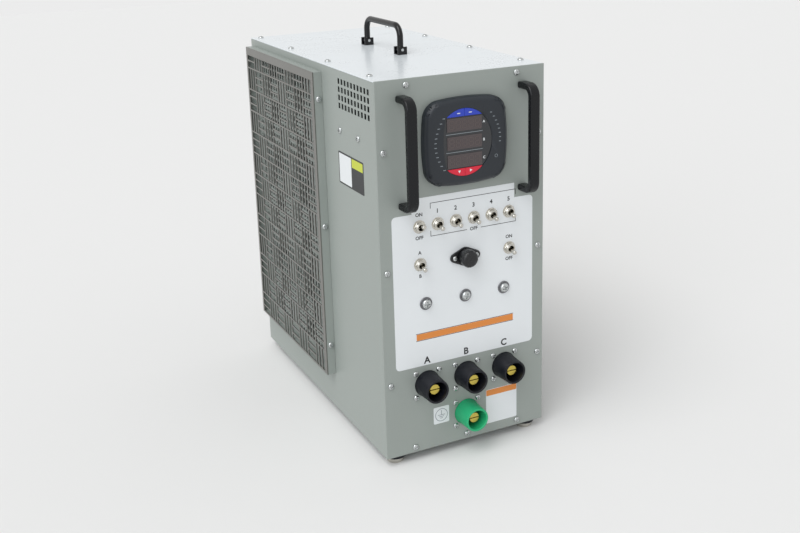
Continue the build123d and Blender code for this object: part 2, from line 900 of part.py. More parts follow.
cover_screws = [(side * cover_screw_x, y) for side in (-1, 1) for y in cover_screw_y]
guard_front_face = Plane(
    origin=front_face.from_local_coords((0, 0, -guard_front)),
    x_dir=front_face.x_dir,
    z_dir=front_face.z_dir,
)
guard_screws = [(-half_width - guard_wall_reach / 2, z) for z in guard_screw_z]
with BuildPart() as case_screws:
    for face, places in (
        (cover_face, cover_screws),
        (left_face, [(-y, z) for y, z in side_screws]),
        (guard_front_face, guard_screws),
        (rear_face, [(side * rear_screw_x, z) for side in (-1, 1) for z in rear_screw_z]),
    ):
        small_rounds(face, places, head_radius, head_height)
save(case_screws, "case_screws")

# ---------------------------------------------------------------- intake fans
fan_inner = side_sheet + fan_depth
motor_front = fan_inner - fan_motor_length
with BuildPart() as fan_frames:
    for y, z in fan_places.values():
        with BuildSketch(right_face.offset(-side_sheet)) as duct:
            with Locations((y, z)):
                Circle(fan_bore + fan_wall)
        extrude(duct.sketch, amount=-fan_depth)
        for reach in (side_sheet, fan_inner - fan_flange):
            with BuildSketch(right_face.offset(-reach)) as square_flange:
                with Locations((y, z)):
                    Rectangle(fan_size, fan_size)
            extrude(square_flange.sketch, amount=-fan_flange)
        with BuildSketch(right_face.offset(-side_sheet)) as duct_bore:
            with Locations((y, z)):
                Circle(fan_bore)
        extrude(duct_bore.sketch, amount=-fan_depth, mode=Mode.SUBTRACT)
        with BuildSketch(right_face.offset(-fan_inner)) as struts:
            with Locations((y, z)):
                Rectangle(2 * fan_bore + fan_wall, fan_strut_width)
                Rectangle(fan_strut_width, 2 * fan_bore + fan_wall)
        extrude(struts.sketch, amount=fan_strut_thickness)
        with BuildSketch(right_face.offset(-fan_inner)) as motor:
            with Locations((y, z)):
                Circle(fan_motor_radius)
        extrude(motor.sketch, amount=fan_motor_length)
        with BuildSketch(right_face.offset(-motor_front)) as shaft_bore:
            with Locations((y, z)):
                Circle(shaft_radius + running_gap)
        extrude(shaft_bore.sketch, amount=-shaft_depth, mode=Mode.SUBTRACT)
save(fan_frames, "fan_frames")

hub_back = motor_front - fan_hub_gap
hub_middle = hub_back - fan_hub_length / 2
blade_root = fan_hub_radius - blade_sink
blade_tip = fan_bore - fan_tip_gap
for name, (y, z) in fan_places.items():
    with BuildPart() as fan_rotor:
        with BuildSketch(right_face.offset(-hub_back)) as hub:
            with Locations((y, z)):
                Circle(fan_hub_radius)
        extrude(hub.sketch, amount=fan_hub_length)
        with BuildSketch(right_face.offset(-hub_back)) as shaft:
            with Locations((y, z)):
                Circle(shaft_radius)
        extrude(shaft.sketch, amount=-(shaft_depth + fan_hub_gap - shaft_end_gap))
        middle = right_face.from_local_coords((y, z, -hub_middle))
        for blade in range(fan_blades):
            turned = math.tau * blade / fan_blades
            reach = right_face.x_dir * math.cos(turned) + right_face.y_dir * math.sin(turned)
            pitch = math.radians(fan_blade_pitch)
            round_way = reach.cross(right_face.z_dir)
            chord_way = round_way * math.cos(pitch) + right_face.z_dir * math.sin(pitch)
            blade_plane = Plane(origin=middle, x_dir=reach, z_dir=reach.cross(chord_way))
            with BuildSketch(blade_plane) as blade_outline:
                with BuildLine():
                    Polyline(
                        (blade_root, -fan_root_chord / 2),
                        (blade_tip, -fan_tip_chord / 2),
                        (blade_tip, fan_tip_chord / 2),
                        (blade_root, fan_root_chord / 2),
                        close=True,
                    )
                make_face()
            extrude(blade_outline.sketch, amount=fan_blade_sheet / 2, both=True)
    save(fan_rotor, "fan_rotor_" + name)

# finger guards: rings on crossed wires, over the intakes
with BuildPart() as fan_guards:
    for y, z in fan_places.values():
        with BuildSketch(right_face) as cross:
            with Locations((y, z)):
                Rectangle(2 * intake_guard_end, intake_guard_wire)
                Rectangle(intake_guard_wire, 2 * intake_guard_end)
        extrude(cross.sketch, amount=intake_guard_wire)
        with BuildSketch(right_face.offset(intake_guard_wire)) as rings:
            with Locations((y, z)):
                for radius in intake_guard_radii:
                    Circle(radius + intake_guard_wire / 2)
                    Circle(radius - intake_guard_wire / 2, mode=Mode.SUBTRACT)
        extrude(rings.sketch, amount=intake_guard_wire)
save(fan_guards, "fan_guards")

# ---------------------------------------------------------------- load elements
element_x = [element_first_x + i * element_pitch_x for i in range(element_columns)]
element_z = [element_first_z + i * element_pitch_z for i in range(element_rows)]
rack_x = (element_x[0] - rack_margin, element_x[-1] + rack_margin)
rack_z = (base_sheet, element_z[-1] + element_height)
with BuildPart() as element_rack:
    for y in (rack_front_y, rack_rear_y - rack_sheet):
        block(rack_x, (y, y + rack_sheet), rack_z)
save(element_rack, "element_rack")

front_end = rack_front_y + rack_sheet
rear_end = rack_rear_y - rack_sheet
with BuildPart() as insulators:
    for x in element_x:
        for z in element_z:
            for y in (front_end, rear_end - insulator_thickness):
                half = insulator_size / 2
                block((x - half, x + half), (y, y + insulator_thickness), (z - half, z + half))
save(insulators, "insulators")

with BuildPart() as load_elements:
    for x in element_x:
        for z in element_z:
            block(
                (x - element_thickness / 2, x + element_thickness / 2),
                (front_end + insulator_thickness, rear_end - insulator_thickness),
                (z - element_height / 2, z + element_height / 2),
            )
save(load_elements, "load_elements")

# ---------------------------------------------------------------- control compartment
contactor_places = [(x * contactor_pitch, contactor_low_z) for x in (-1, 0, 1)]
contactor_places += [(x * contactor_pitch / 2, contactor_high_z) for x in (-1, 1)]
with BuildPart() as contactors:
    for x, z in contactor_places:
        across = (x - contactor_width / 2, x + contactor_width / 2)
        block(across, (divider_y - contactor_base, divider_y), (z, z + contactor_height))
        tower = (z + contactor_step, z + contactor_height - contactor_step)
        block(across, (divider_y - contactor_depth, divider_y - contactor_base), tower)
save(contactors, "contactors")

with BuildPart() as control_transformer:
    core_y = (transformer_y - transformer_core / 2, transformer_y + transformer_core / 2)
    coil_y = (transformer_y - transformer_depth / 2, transformer_y + transformer_depth / 2)
    core_x = (transformer_x - transformer_width / 2, transformer_x + transformer_width / 2)
    coil_x = (core_x[0] + transformer_core, core_x[1] - transformer_core)
    core_z = (base_sheet, base_sheet + transformer_height)
    coil_z = (core_z[0] + transformer_core, core_z[1] - transformer_core)
    block(core_x, core_y, core_z)
    block(coil_x, coil_y, coil_z)
save(control_transformer, "control_transformer")

# bus bars: from each contact to its contactor, and from the ground contact to the base pan
contactor_front = divider_y - contactor_depth
bar_y = (pin_tail, pin_tail + bar_thickness)
bar_top = contactor_low_z + contactor_step + bar_end_margin
with BuildPart() as bus_bars:
    for name, (x, z) in sleeve_places.items():
        across = (x - bar_width / 2, x + bar_width / 2)
        if name == "ground":
            block(across, bar_y, (base_sheet, z + bar_end_margin))
            block(across, (pin_tail, pin_tail + bar_width), (base_sheet, base_sheet + bar_thickness))
        else:
            block(across, bar_y, (z - bar_end_margin, bar_top))
            block(across, (pin_tail, contactor_front), (bar_top - bar_thickness, bar_top))
save(bus_bars, "bus_bars")

with BuildPart() as current_sensors:
    for x in (-receptacle_pitch, 0, receptacle_pitch):
        middle = (bar_y[0] + bar_y[1]) / 2
        level = (sensor_z - sensor_height / 2, sensor_z + sensor_height / 2)
        block(
            (x - sensor_width / 2, x + sensor_width / 2),
            (middle - sensor_depth / 2, middle + sensor_depth / 2),
            level,
        )
        block(
            (x - bar_width / 2 - sensor_gap, x + bar_width / 2 + sensor_gap),
            (bar_y[0] - sensor_gap, bar_y[1] + sensor_gap),
            level,
            Mode.SUBTRACT,
        )
save(current_sensors, "current_sensors")
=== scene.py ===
"""A portable, fan-cooled load bank for testing generators, dressed for rendering.

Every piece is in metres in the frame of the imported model. Sizes are written in millimetres.
A place on the case is given as x from its middle, y back from its front face and z up from
its bottom.
"""

import json
import logging
import math
from dataclasses import dataclass, field
from enum import Enum
from typing import Any, Callable, Sequence

import bmesh
import bpy
from mathutils import Matrix, Vector


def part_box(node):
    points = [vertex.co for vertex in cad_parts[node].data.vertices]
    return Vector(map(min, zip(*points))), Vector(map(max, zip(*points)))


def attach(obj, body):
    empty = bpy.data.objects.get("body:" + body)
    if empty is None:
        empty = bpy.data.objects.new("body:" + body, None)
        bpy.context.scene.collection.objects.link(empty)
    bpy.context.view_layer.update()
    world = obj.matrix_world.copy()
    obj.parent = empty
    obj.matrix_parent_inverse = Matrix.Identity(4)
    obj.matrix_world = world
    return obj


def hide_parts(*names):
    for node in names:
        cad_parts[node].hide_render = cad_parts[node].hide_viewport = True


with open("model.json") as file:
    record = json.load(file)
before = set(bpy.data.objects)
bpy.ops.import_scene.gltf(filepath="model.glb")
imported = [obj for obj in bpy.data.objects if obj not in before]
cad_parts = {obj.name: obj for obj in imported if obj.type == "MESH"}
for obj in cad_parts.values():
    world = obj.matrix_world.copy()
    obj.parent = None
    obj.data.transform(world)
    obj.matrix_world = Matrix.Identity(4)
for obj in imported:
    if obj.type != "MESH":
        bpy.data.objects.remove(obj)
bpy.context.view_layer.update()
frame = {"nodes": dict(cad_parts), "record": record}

MM = 0.001
SHOWN_BODY = "case"
# Corners nearer than this, in metres, are one corner.
WELD = 2e-6
# Faces that meet at less than this, in degrees, are one flat face.
FLAT_ANGLE = 0.5
# Edges sharper than these, in degrees, are drawn sharp, or are rounded on softened pieces.
SHARP_ANGLE = 32.0
ROUNDED_ANGLE = 35.0
# Depth that a print or a film is sunk into the surface under it, and height of a print.
SINK, INK = 0.02, 0.05
MATH = "ShaderNodeMath"
log = logging.getLogger("load_bank")

Point = tuple[float, float]
Place = tuple[float, float, float]


# ------------------------------------------------------------------ places on the case
@dataclass(frozen=True)
class Face:
    """A flat side of the case with its own across, up and outward directions.

    Args:
        start: Point of the face that places are counted from, in metres.
        across: Direction of the first coordinate.
        up: Direction of the second coordinate.
    """

    start: Vector
    across: Vector
    up: Vector

    @property
    def out(self) -> Vector:
        """The direction that points away from the case."""
        return self.across.cross(self.up)

    def at(self, across: float, up: float, out: float = 0.0) -> Vector:
        """The point, in metres, of a place on the face in millimetres."""
        return self.start + (self.across * across + self.up * up + self.out * out) * MM

    def matrix(self, across: float = 0.0, up: float = 0.0, out: float = 0.0) -> Matrix:
        """The frame at a place on the face, with local z outwards."""
        turned = Matrix((self.across, self.up, self.out)).transposed().to_4x4()
        return Matrix.Translation(self.at(across, up, out)) @ turned


@dataclass(frozen=True)
class CaseFaces:
    """The faces of the case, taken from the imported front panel, cover and rear panel."""

    front: Face
    left: Face
    right: Face
    middle: Vector

    @classmethod
    def from_frame(cls) -> "CaseFaces":
        """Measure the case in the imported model."""
        low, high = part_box("front_panel")
        cover_low, cover_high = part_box("top_cover")
        start = Vector(((low.x + high.x) / 2, low.y, low.z))
        x, y, z = Vector((1, 0, 0)), Vector((0, 1, 0)), Vector((0, 0, 1))
        return cls(
            front=Face(start, x, z), left=Face(Vector((low.x, low.y, low.z)), -y, z),
            right=Face(Vector((high.x, low.y, low.z)), y, z),
            middle=Vector((start.x, (cover_low.y + cover_high.y) / 2, (low.z + high.z) / 2)),
        )


# ------------------------------------------------------------------ node trees
def add(
    tree: bpy.types.NodeTree, kind: str, settings: dict[str, Any] | None = None,
    inputs: dict[str, Any] | Sequence[Any] | None = None,
) -> bpy.types.Node:
    """Add a node, set its properties, and fill its inputs.

    Args:
        tree: The tree that gets the node.
        kind: The node's type name.
        settings: Properties of the node by name.
        inputs: Values by the input's name, or in the order of the inputs. A node links its
            first output in use, and a socket links itself.

    Returns:
        The new node.
    """
    node = tree.nodes.new(kind)
    for name, value in (settings or {}).items():
        setattr(node, name, value)
    named = inputs.items() if isinstance(inputs, dict) else enumerate(inputs or ())
    for name, value in named:
        free = (s for s in node.inputs if s.enabled and s.name == name and not s.is_linked)
        socket = node.inputs[name] if isinstance(name, int) else next(free)
        if isinstance(value, bpy.types.Node):
            value = next(s for s in value.outputs if s.enabled)
        if isinstance(value, bpy.types.NodeSocket):
            tree.links.new(value, socket)
        else:
            socket.default_value = value
    return node


# ------------------------------------------------------------------ finishes
def linear(code: str, gain: float = 1.0) -> tuple[float, float, float, float]:
    """Turn an sRGB hex colour into linear light.

    Args:
        code: Six hex digits after a hash sign.
        gain: Factor on the linear value.

    Returns:
        Red, green, blue and an alpha of 1.
    """
    values = [int(code[i : i + 2], 16) / 255 for i in (1, 3, 5)]
    light = [v / 12.92 if v <= 0.04045 else ((v + 0.055) / 1.055) ** 2.4 for v in values]
    return (*(min(1.0, v * gain) for v in light), 1.0)


class Grain(Enum):
    """How the surface was made, which sets the pattern that it shows close by."""

    SPRAYED = "sprayed"
    MOULDED = "moulded"
    BRUSHED = "brushed"
    SPANGLED = "spangled"
    TURNED = "turned"
    PRINTED = "printed"


@dataclass(frozen=True)
class Finish:
    """A real finish, turned into a node material.

    Args:
        name: The maker's name for it.
        colour: Base colour as sRGB hex.
        roughness: Mean roughness.
        grain: How it was made.
        grain_mm: Size of one grain of the pattern.
        depth_mm: Height of the pattern.
        metallic: 1 for bare metal.
        coat: Weight of a clear coat.
        clouding: Share by which the colour wanders over the surface.
        cloud_mm: Size of those wanderings.
        ior: Index of refraction, for what isn't metal.
    """

    name: str
    colour: str
    roughness: float
    grain: Grain
    grain_mm: float
    depth_mm: float
    metallic: float = 0.0
    coat: float = 0.0
    clouding: float = 0.04
    cloud_mm: float = 70.0
    ior: float = 1.5

    def material(self) -> bpy.types.Material:
        """Return this finish's material, made once."""
        known = bpy.data.materials.get(self.name)
        return known or self._make()

    def _make(self) -> bpy.types.Material:
        """Build the node tree of the material."""
        material = bpy.data.materials.new(self.name)
        material.use_nodes = True
        tree = material.node_tree
        shader = tree.nodes["Principled BSDF"]
        shader.inputs["Metallic"].default_value = self.metallic
        shader.inputs["Coat Weight"].default_value = self.coat
        shader.inputs["Coat Roughness"].default_value = 0.12
        if not self.metallic:
            shader.inputs["IOR"].default_value = self.ior
        place = add(tree, "ShaderNodeTexCoord").outputs["Object"]
        cloud = add(
            tree, "ShaderNodeTexNoise",
            inputs={"Vector": place, "Scale": 1 / (self.cloud_mm * MM), "Detail": 4.0},
        )
        colour = add(tree, "ShaderNodeMix", {"data_type": "RGBA"}, {
            "Factor": cloud.outputs["Fac"], "A": linear(self.colour, 1 - self.clouding),
            "B": linear(self.colour, 1 + self.clouding),
        })
        tree.links.new(next(s for s in colour.outputs if s.enabled), shader.inputs["Base Color"])
        pattern = self._pattern(tree, place)
        spread = 0.22 * self.roughness
        worn = add(tree, MATH, {"operation": "ADD"}, [cloud.outputs["Fac"], pattern])
        rough = add(tree, "ShaderNodeMapRange", inputs={
            "Value": worn, "From Min": 0.5, "From Max": 1.5, "To Min": self.roughness - spread,
            "To Max": self.roughness + spread,
        })
        tree.links.new(rough.outputs[0], shader.inputs["Roughness"])
        bump = add(
            tree, "ShaderNodeBump",
            inputs={"Strength": 1.0, "Distance": self.depth_mm * MM, "Height": pattern},
        )
        tree.links.new(bump.outputs[0], shader.inputs["Normal"])
        return material

    def _pattern(self, tree: bpy.types.NodeTree, place: bpy.types.NodeSocket) -> bpy.types.NodeSocket:
        """Add the close pattern of the grain and return its height."""
        stretch = {Grain.BRUSHED: (1.0, 0.03, 1.0), Grain.TURNED: (1.0, 0.12, 1.0)}
        scaled = add(
            tree, "ShaderNodeMapping",
            inputs={"Vector": place, "Scale": stretch.get(self.grain, (1.0, 1.0, 1.0))},
        )
        if self.grain is Grain.SPANGLED:
            flakes = add(
                tree, "ShaderNodeTexVoronoi",
                inputs={"Vector": scaled, "Scale": 1 / (self.grain_mm * MM)},
            )
            return flakes.outputs["Distance"]
        detail = {Grain.SPRAYED: 1.5, Grain.MOULDED: 4.0, Grain.PRINTED: 2.0}
        noise = add(tree, "ShaderNodeTexNoise", inputs={
            "Vector": scaled, "Scale": 1 / (self.grain_mm * MM), "Detail": detail.get(self.grain, 3.0),
        })
        return noise.outputs["Fac"]


# Powder-coated steel: a broad, soft sheen with a faint orange peel.
CASE_PAINT = Finish("grey powder coat", "#99A09B", 0.4, Grain.SPRAYED, 1.6, 0.02, ior=1.48)
# White gloss coat of the cover: brighter and smoother than the case.
COVER_PAINT = Finish("pale grey gloss coat", "#E0E6E9", 0.3, Grain.SPRAYED, 2.0, 0.015, coat=0.2)
# Hot-dip galvanised sheet: large dull spangles.
GALVANISED = Finish("galvanised sheet", "#A6A9AA", 0.45, Grain.SPANGLED, 6.0, 0.01, 1.0)
# Punched stainless sheet: fine rolling lines that stretch each glint.
PUNCHED_STEEL = Finish("punched stainless sheet", "#858480", 0.32, Grain.BRUSHED, 0.9, 0.012, 1.0)
# Nickel-plated brass: warm mirror, slightly clouded by handling.
NICKEL = Finish("nickel plate", "#CBC8C0", 0.2, Grain.TURNED, 0.8, 0.004, 1.0)
# Zinc-plated steel screws: cooler and a little duller than nickel.
ZINC = Finish("bright zinc plate", "#C3C6C6", 0.26, Grain.TURNED, 0.9, 0.004, 1.0)
# Chromed wire: the sharpest mirror on the object.
CHROME = Finish("chromed wire", "#D0D2D3", 0.12, Grain.TURNED, 1.2, 0.002, 1.0)
# Blackened spring steel washers.
DARK_WASHER = Finish("black oxide steel", "#77777A", 0.36, Grain.TURNED, 0.7, 0.006, 1.0)
# Vinyl-dipped pull handles: smooth and black, with long soft glints.
HANDLE_VINYL = Finish("black vinyl dip", "#0C0E11", 0.27, Grain.MOULDED, 1.8, 0.02, ior=1.38)
# Gloss black enamel of the folding handle.
BLACK_ENAMEL = Finish("gloss black enamel", "#0B0C0F", 0.2, Grain.SPRAYED, 1.5, 0.01, coat=0.1, ior=1.4)
# Moulded ABS of the meter's bezel: blue-black with a fine spark texture.
METER_ABS = Finish("spark-textured ABS", "#1D232A", 0.38, Grain.MOULDED, 0.5, 0.02)
# Polycarbonate face of the meter: dark, smooth and clear-coated.
METER_FACE = Finish("smoked polycarbonate", "#12161C", 0.16, Grain.PRINTED, 3.0, 0.004, coat=0.6)
# Display windows: brown filter glass over unlit digits.
DISPLAY = Finish("brown filter glass", "#44393A", 0.14, Grain.PRINTED, 4.0, 0.003, coat=0.5)
# Unlit digit segments under the filter.
DIGIT = Finish("unlit digit segment", "#524644", 0.3, Grain.PRINTED, 2.0, 0.003)
# Silicone membrane keys.
KEY_BLUE = Finish("blue silicone key", "#2740B8", 0.36, Grain.MOULDED, 0.8, 0.01)
KEY_RED = Finish("red silicone key", "#D9203A", 0.36, Grain.MOULDED, 0.8, 0.01)
# Screen-printed polyester label: satin white with a shallow matt tooth.
LABEL_FILM = Finish("white polyester label", "#E6EAEC", 0.36, Grain.PRINTED, 0.9, 0.006)
# Printing inks: flat colour with the sheen of the film under it.
INK_BLACK = Finish("black screen ink", "#1C1E20", 0.42, Grain.PRINTED, 0.8, 0.004)
INK_ORANGE = Finish("orange screen ink", "#E08A3C", 0.42, Grain.PRINTED, 0.8, 0.004)
INK_YELLOW = Finish("yellow screen ink", "#C6CF38", 0.42, Grain.PRINTED, 0.8, 0.004)
INK_WHITE = Finish("white screen ink", "#E4E8E9", 0.42, Grain.PRINTED, 0.8, 0.004)
INK_GREY = Finish("grey screen ink", "#8E969C", 0.42, Grain.PRINTED, 0.8, 0.004)
# Moulded phenolic: hard, black and faintly mottled.
PHENOLIC = Finish("black phenolic", "#141517", 0.34, Grain.MOULDED, 1.0, 0.02)
# Vulcanised rubber sleeves: matt, with a dusty bloom.
RUBBER_BLACK = Finish("black rubber", "#12141B", 0.44, Grain.MOULDED, 0.9, 0.03, clouding=0.14, ior=1.38)
RUBBER_GREEN = Finish("green rubber", "#22AA72", 0.45, Grain.MOULDED, 0.9, 0.03, clouding=0.06)
# Machined brass contacts: yellow, with fine tool rings.
BRASS = Finish("machined brass", "#CDB95C", 0.3, Grain.TURNED, 0.4, 0.01, 1.0)
# Fuse body: off-white glazed ceramic.
FUSE_BODY = Finish("fuse ceramic", "#D9D4C2", 0.3, Grain.MOULDED, 1.0, 0.01)
# Painted casting and glass-filled nylon of the fans.
FAN_CASTING = Finish("black painted casting", "#1B1C1D", 0.55, Grain.MOULDED, 1.2, 0.05)
FAN_NYLON = Finish("glass-filled nylon", "#17181A", 0.45, Grain.MOULDED, 0.7, 0.02)
# Inside of the case: steatite blocks, oxidised ribbon, laminated core and copper bars. The rack's
# heat-scaled steel is darkened past its own tone as painted shade for the shadowed inside seen through
# the screen and vents.
SHADED_SCALED_STEEL = Finish("heat-scaled steel", "#5B5A57", 0.5, Grain.BRUSHED, 0.8, 0.02, 1.0)
STEATITE = Finish("steatite ceramic", "#DDD7C8", 0.5, Grain.MOULDED, 1.0, 0.02)
ELEMENT_RIBBON = Finish("oxidised nichrome", "#6E6560", 0.5, Grain.BRUSHED, 0.8, 0.01, 1.0)
CORE_STEEL = Finish("laminated core steel", "#5A5C5F", 0.5, Grain.BRUSHED, 0.5, 0.05, 1.0)
COPPER = Finish("bare copper", "#C9805A", 0.32, Grain.BRUSHED, 0.8, 0.01, 1.0)
# Studio sweep: pale, matt and plain.
STUDIO_PAPER = Finish("studio paper", "#E9E9E8", 0.9, Grain.PRINTED, 6.0, 0.0, clouding=0.004)


# ------------------------------------------------------------------ making meshes
def circle(radius: float, sides: int) -> list[Point]:
    """Points round a circle about the origin."""
    steps = [math.tau * i / sides for i in range(sides)]
    return [(radius * math.cos(a), radius * math.sin(a)) for a in steps]


def arc(centre: Point, radius: float, start: float, end: float, steps: int) -> list[Point]:
    """Points on an arc, both ends included, with angles in degrees."""
    turns = [math.radians(start + (end - start) * i / steps) for i in range(steps + 1)]
    return [(centre[0] + radius * math.cos(a), centre[1] + radius * math.sin(a)) for a in turns]


def rounded_rectangle(width: float, height: float, radius: float, steps: int = 4) -> list[Point]:
    """The outline of a rectangle about the origin with round corners."""
    across, up = width / 2 - radius, height / 2 - radius
    outline: list[Point] = []
    for start, x, y in ((0, across, up), (90, -across, up), (180, -across, -up), (270, across, -up)):
        outline += arc((x, y), radius, start, start + 90, steps)
    return outline


def rounded_path(corners: Sequence[Vector], radius: float, steps: int = 10) -> list[Vector]:
    """Points along a path whose corners are turned by tangent arcs.

    Args:
        corners: The path's ends and corners, in metres.
        radius: Radius of the arcs, in millimetres.
        steps: Parts of each arc.

    Returns:
        The points, in metres.
    """
    points = [corners[0]]
    for before, corner, after in zip(corners, corners[1:], corners[2:]):
        back, ahead = (before - corner).normalized(), (after - corner).normalized()
        half = back.angle(ahead) / 2
        centre = corner + (back + ahead).normalized() * (radius * MM / math.sin(half))
        start = corner + back * (radius * MM / math.tan(half)) - centre
        end = corner + ahead * (radius * MM / math.tan(half)) - centre
        for i in range(steps + 1):
            points.append(centre + start.lerp(end, i / steps).normalized() * (radius * MM))
    return points + [corners[-1]]


class Shape:
    """A mesh in the making."""

    def __init__(self) -> None:
        self.mesh = bmesh.new()

    def lathe(
        self, place: Matrix, profile: Sequence[Point], sides: int = 40, loop: bool = False,
        wave: Callable[[float], float] | None = None,
    ) -> "Shape":
        """Turn a profile about the local z axis of a place.

        Args:
            place: Frame of the turned form.
            profile: Points of (reach along z, radius), in millimetres.
            sides: Parts round the axis.
            loop: Whether the profile closes on itself, as the section of a ring does.
            wave: Factor on the radius by angle, for flutes and flats.
        """
        rings = []
        for reach, radius in profile:
            if radius < 1e-6:
                rings.append([self.mesh.verts.new(place @ Vector((0, 0, reach * MM)))])
                continue
            ring = []
            for i in range(sides):
                angle = math.tau * i / sides
                r = radius * MM * (wave(angle) if wave else 1.0)
                ring.append(self.mesh.verts.new(
                    place @ Vector((r * math.cos(angle), r * math.sin(angle), reach * MM))
                ))
            rings.append(ring)
        pairs = list(zip(rings, rings[1:])) + ([(rings[-1], rings[0])] if loop else [])
        for first, second in pairs:
            for i in range(sides):
                j = (i + 1) % sides
                corners = [first[i % len(first)], first[j % len(first)]]
                corners += [second[j % len(second)], second[i % len(second)]]
                corners = list(dict.fromkeys(corners))
                if len(corners) > 2:
                    self.mesh.faces.new(corners)
        return self

    def sweep(self, path: Sequence[Vector], section: Sequence[Point], normal: Vector) -> "Shape":
        """Sweep a section along a flat path and close its ends.

        Args:
            path: Points of the path, in metres.
            section: Points of (along the normal, sideways), in millimetres.
            normal: Normal of the plane that the path lies in.
        """
        rings = []
        for i, point in enumerate(path):
            ahead = path[min(i + 1, len(path) - 1)] - point
            back = point - path[max(i - 1, 0)]
            tangent = (ahead.normalized() + back.normalized()).normalized()
            sideways = normal.cross(tangent)
            rings.append(
                [self.mesh.verts.new(point + (normal * a + sideways * b) * MM) for a, b in section]
            )
        for first, second in zip(rings, rings[1:]):
            for i in range(len(section)):
                j = (i + 1) % len(section)
                self.mesh.faces.new((first[i], first[j], second[j], second[i]))
        self.mesh.faces.new(rings[0])
        self.mesh.faces.new(rings[-1])
        return self

    def prism(self, place: Matrix, outline: Sequence[Point], low: float, high: float) -> "Shape":
        """Raise a flat outline between two levels of a place's local z."""
        rings = [
            [self.mesh.verts.new(place @ Vector((x * MM, y * MM, z * MM))) for x, y in outline]
            for z in (low, high)
        ]
        for i in range(len(outline)):
            j = (i + 1) % len(outline)
            self.mesh.faces.new((rings[0][i], rings[0][j], rings[1][j], rings[1][i]))
        self.mesh.faces.new(rings[0])
        self.mesh.faces.new(rings[1])
        return self

    def bar(self, place: Matrix, x: Point, y: Point, z: Point) -> "Shape":
        """A box between pairs of limits in a place's local axes."""
        outline = [(x[0], y[0]), (x[1], y[0]), (x[1], y[1]), (x[0], y[1])]
        return self.prism(place, outline, *z)

    def pierced_plate(
        self, x: Point, y: Point, holes: Sequence[tuple[float, float, float, float]], thickness: float,
        chamfer: float,
    ) -> "Shape":
        """A flat plate about the origin, facing +z, with chamfered rectangular holes.

        Args:
            x: Limits of the plate along x.
            y: Limits of the plate along y.
            holes: Limits of each hole as (x low, x high, y low, y high).
            thickness: Thickness of the plate, below z = 0.
            chamfer: Width of the bright rim round each hole.

        The outer edge gets no walls, because tiles and borders meet there.
        """
        rims = [(a - chamfer, b + chamfer, c - chamfer, d + chamfer) for a, b, c, d in holes]
        across = sorted({x[0], x[1], *(v for rim in rims for v in rim[:2])})
        up = sorted({y[0], y[1], *(v for rim in rims for v in rim[2:])})

        def hole_at(u: float, v: float) -> int | None:
            """The hole whose rim encloses a point."""
            inside = (k for k, (a, b, c, d) in enumerate(rims) if a < u < b and c < v < d)
            return next(inside, None)

        made: dict[tuple[int, int, str], bmesh.types.BMVert] = {}

        def vertex(i: int, j: int, level: str, hole: int | None) -> bmesh.types.BMVert:
            """The vertex of a grid point on the front, the rim's foot or the back."""
            if (i, j, level) not in made:
                u, v = across[i], up[j]
                if level != "front" and hole is not None:
                    a, b, c, d = holes[hole]
                    u, v = min(max(u, a), b), min(max(v, c), d)
                z = {"front": 0.0, "foot": -chamfer, "back": -thickness}[level]
                made[i, j, level] = self.mesh.verts.new(Vector((u, v, z)) * MM)
            return made[i, j, level]

        solid: dict[tuple[int, int], int | None] = {
            (i, j): hole_at((across[i] + across[i + 1]) / 2, (up[j] + up[j + 1]) / 2)
            for i in range(len(across) - 1) for j in range(len(up) - 1)
        }
        steps = (((0, 0), (1, 0), (0, -1)), ((1, 0), (1, 1), (1, 0)))
        steps += (((1, 1), (0, 1), (0, 1)), ((0, 1), (0, 0), (-1, 0)))
        for (i, j), hole in solid.items():
            if hole is None:
                continue
            for first, second, side in steps:
                if solid.get((i + side[0], j + side[1])) is not None:
                    continue
                p, q = (i + first[0], j + first[1]), (i + second[0], j + second[1])
                for upper, lower in (("front", "foot"), ("foot", "back")):
                    self.mesh.faces.new((
                        vertex(*q, upper, hole), vertex(*p, upper, hole), vertex(*p, lower, hole),
                        vertex(*q, lower, hole),
                    ))
        corners = ((0, 0), (1, 0), (1, 1), (0, 1))
        for (i, j), hole in solid.items():
            if hole is not None:
                continue
            self.mesh.faces.new([vertex(i + a, j + b, "front", None) for a, b in corners])
            self.mesh.faces.new([vertex(i + a, j + b, "back", None) for a, b in corners[::-1]])
        return self

    def object(self, name: str, finish: Finish, outwards: bool = True) -> bpy.types.Object:
        """Finish the mesh and stand it in the scene.

        Args:
            name: The piece's name.
            finish: Its finish.
            outwards: Whether to turn all faces outwards, which open tiles don't need.

        Returns:
            The object, at the origin.
        """
        bmesh.ops.remove_doubles(self.mesh, verts=self.mesh.verts, dist=1e-7)
        if outwards:
            bmesh.ops.recalc_face_normals(self.mesh, faces=self.mesh.faces)
        return stand(name, plain_mesh(name, self.mesh), finish)


def stand(name: str, data: bpy.types.Mesh, finish: Finish) -> bpy.types.Object:
    """Link a mesh into the scene with its finish and smooth shading across gentle edges."""
    data.materials.clear()
    data.materials.append(finish.material())
    data.polygons.foreach_set("use_smooth", [True] * len(data.polygons))
    data.set_sharp_from_angle(angle=math.radians(SHARP_ANGLE))
    thing = bpy.data.objects.new(name, data)
    bpy.context.scene.collection.objects.link(thing)
    return thing


def keep(piece: bpy.types.Object, slot: str, *nodes: str, body: str = SHOWN_BODY) -> bpy.types.Object:
    """Hand a finished piece to the frame.

    Args:
        piece: The piece, in place.
        slot: The record's material slot; not used.
        nodes: CAD nodes that it stands for.
        body: The body that it moves with.

    Returns:
        The same piece.
    """
    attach(piece, body)
    if nodes:
        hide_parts(*nodes)
    log.info("%s: %d faces, on %s", piece.name, len(piece.data.polygons), body)
    return piece


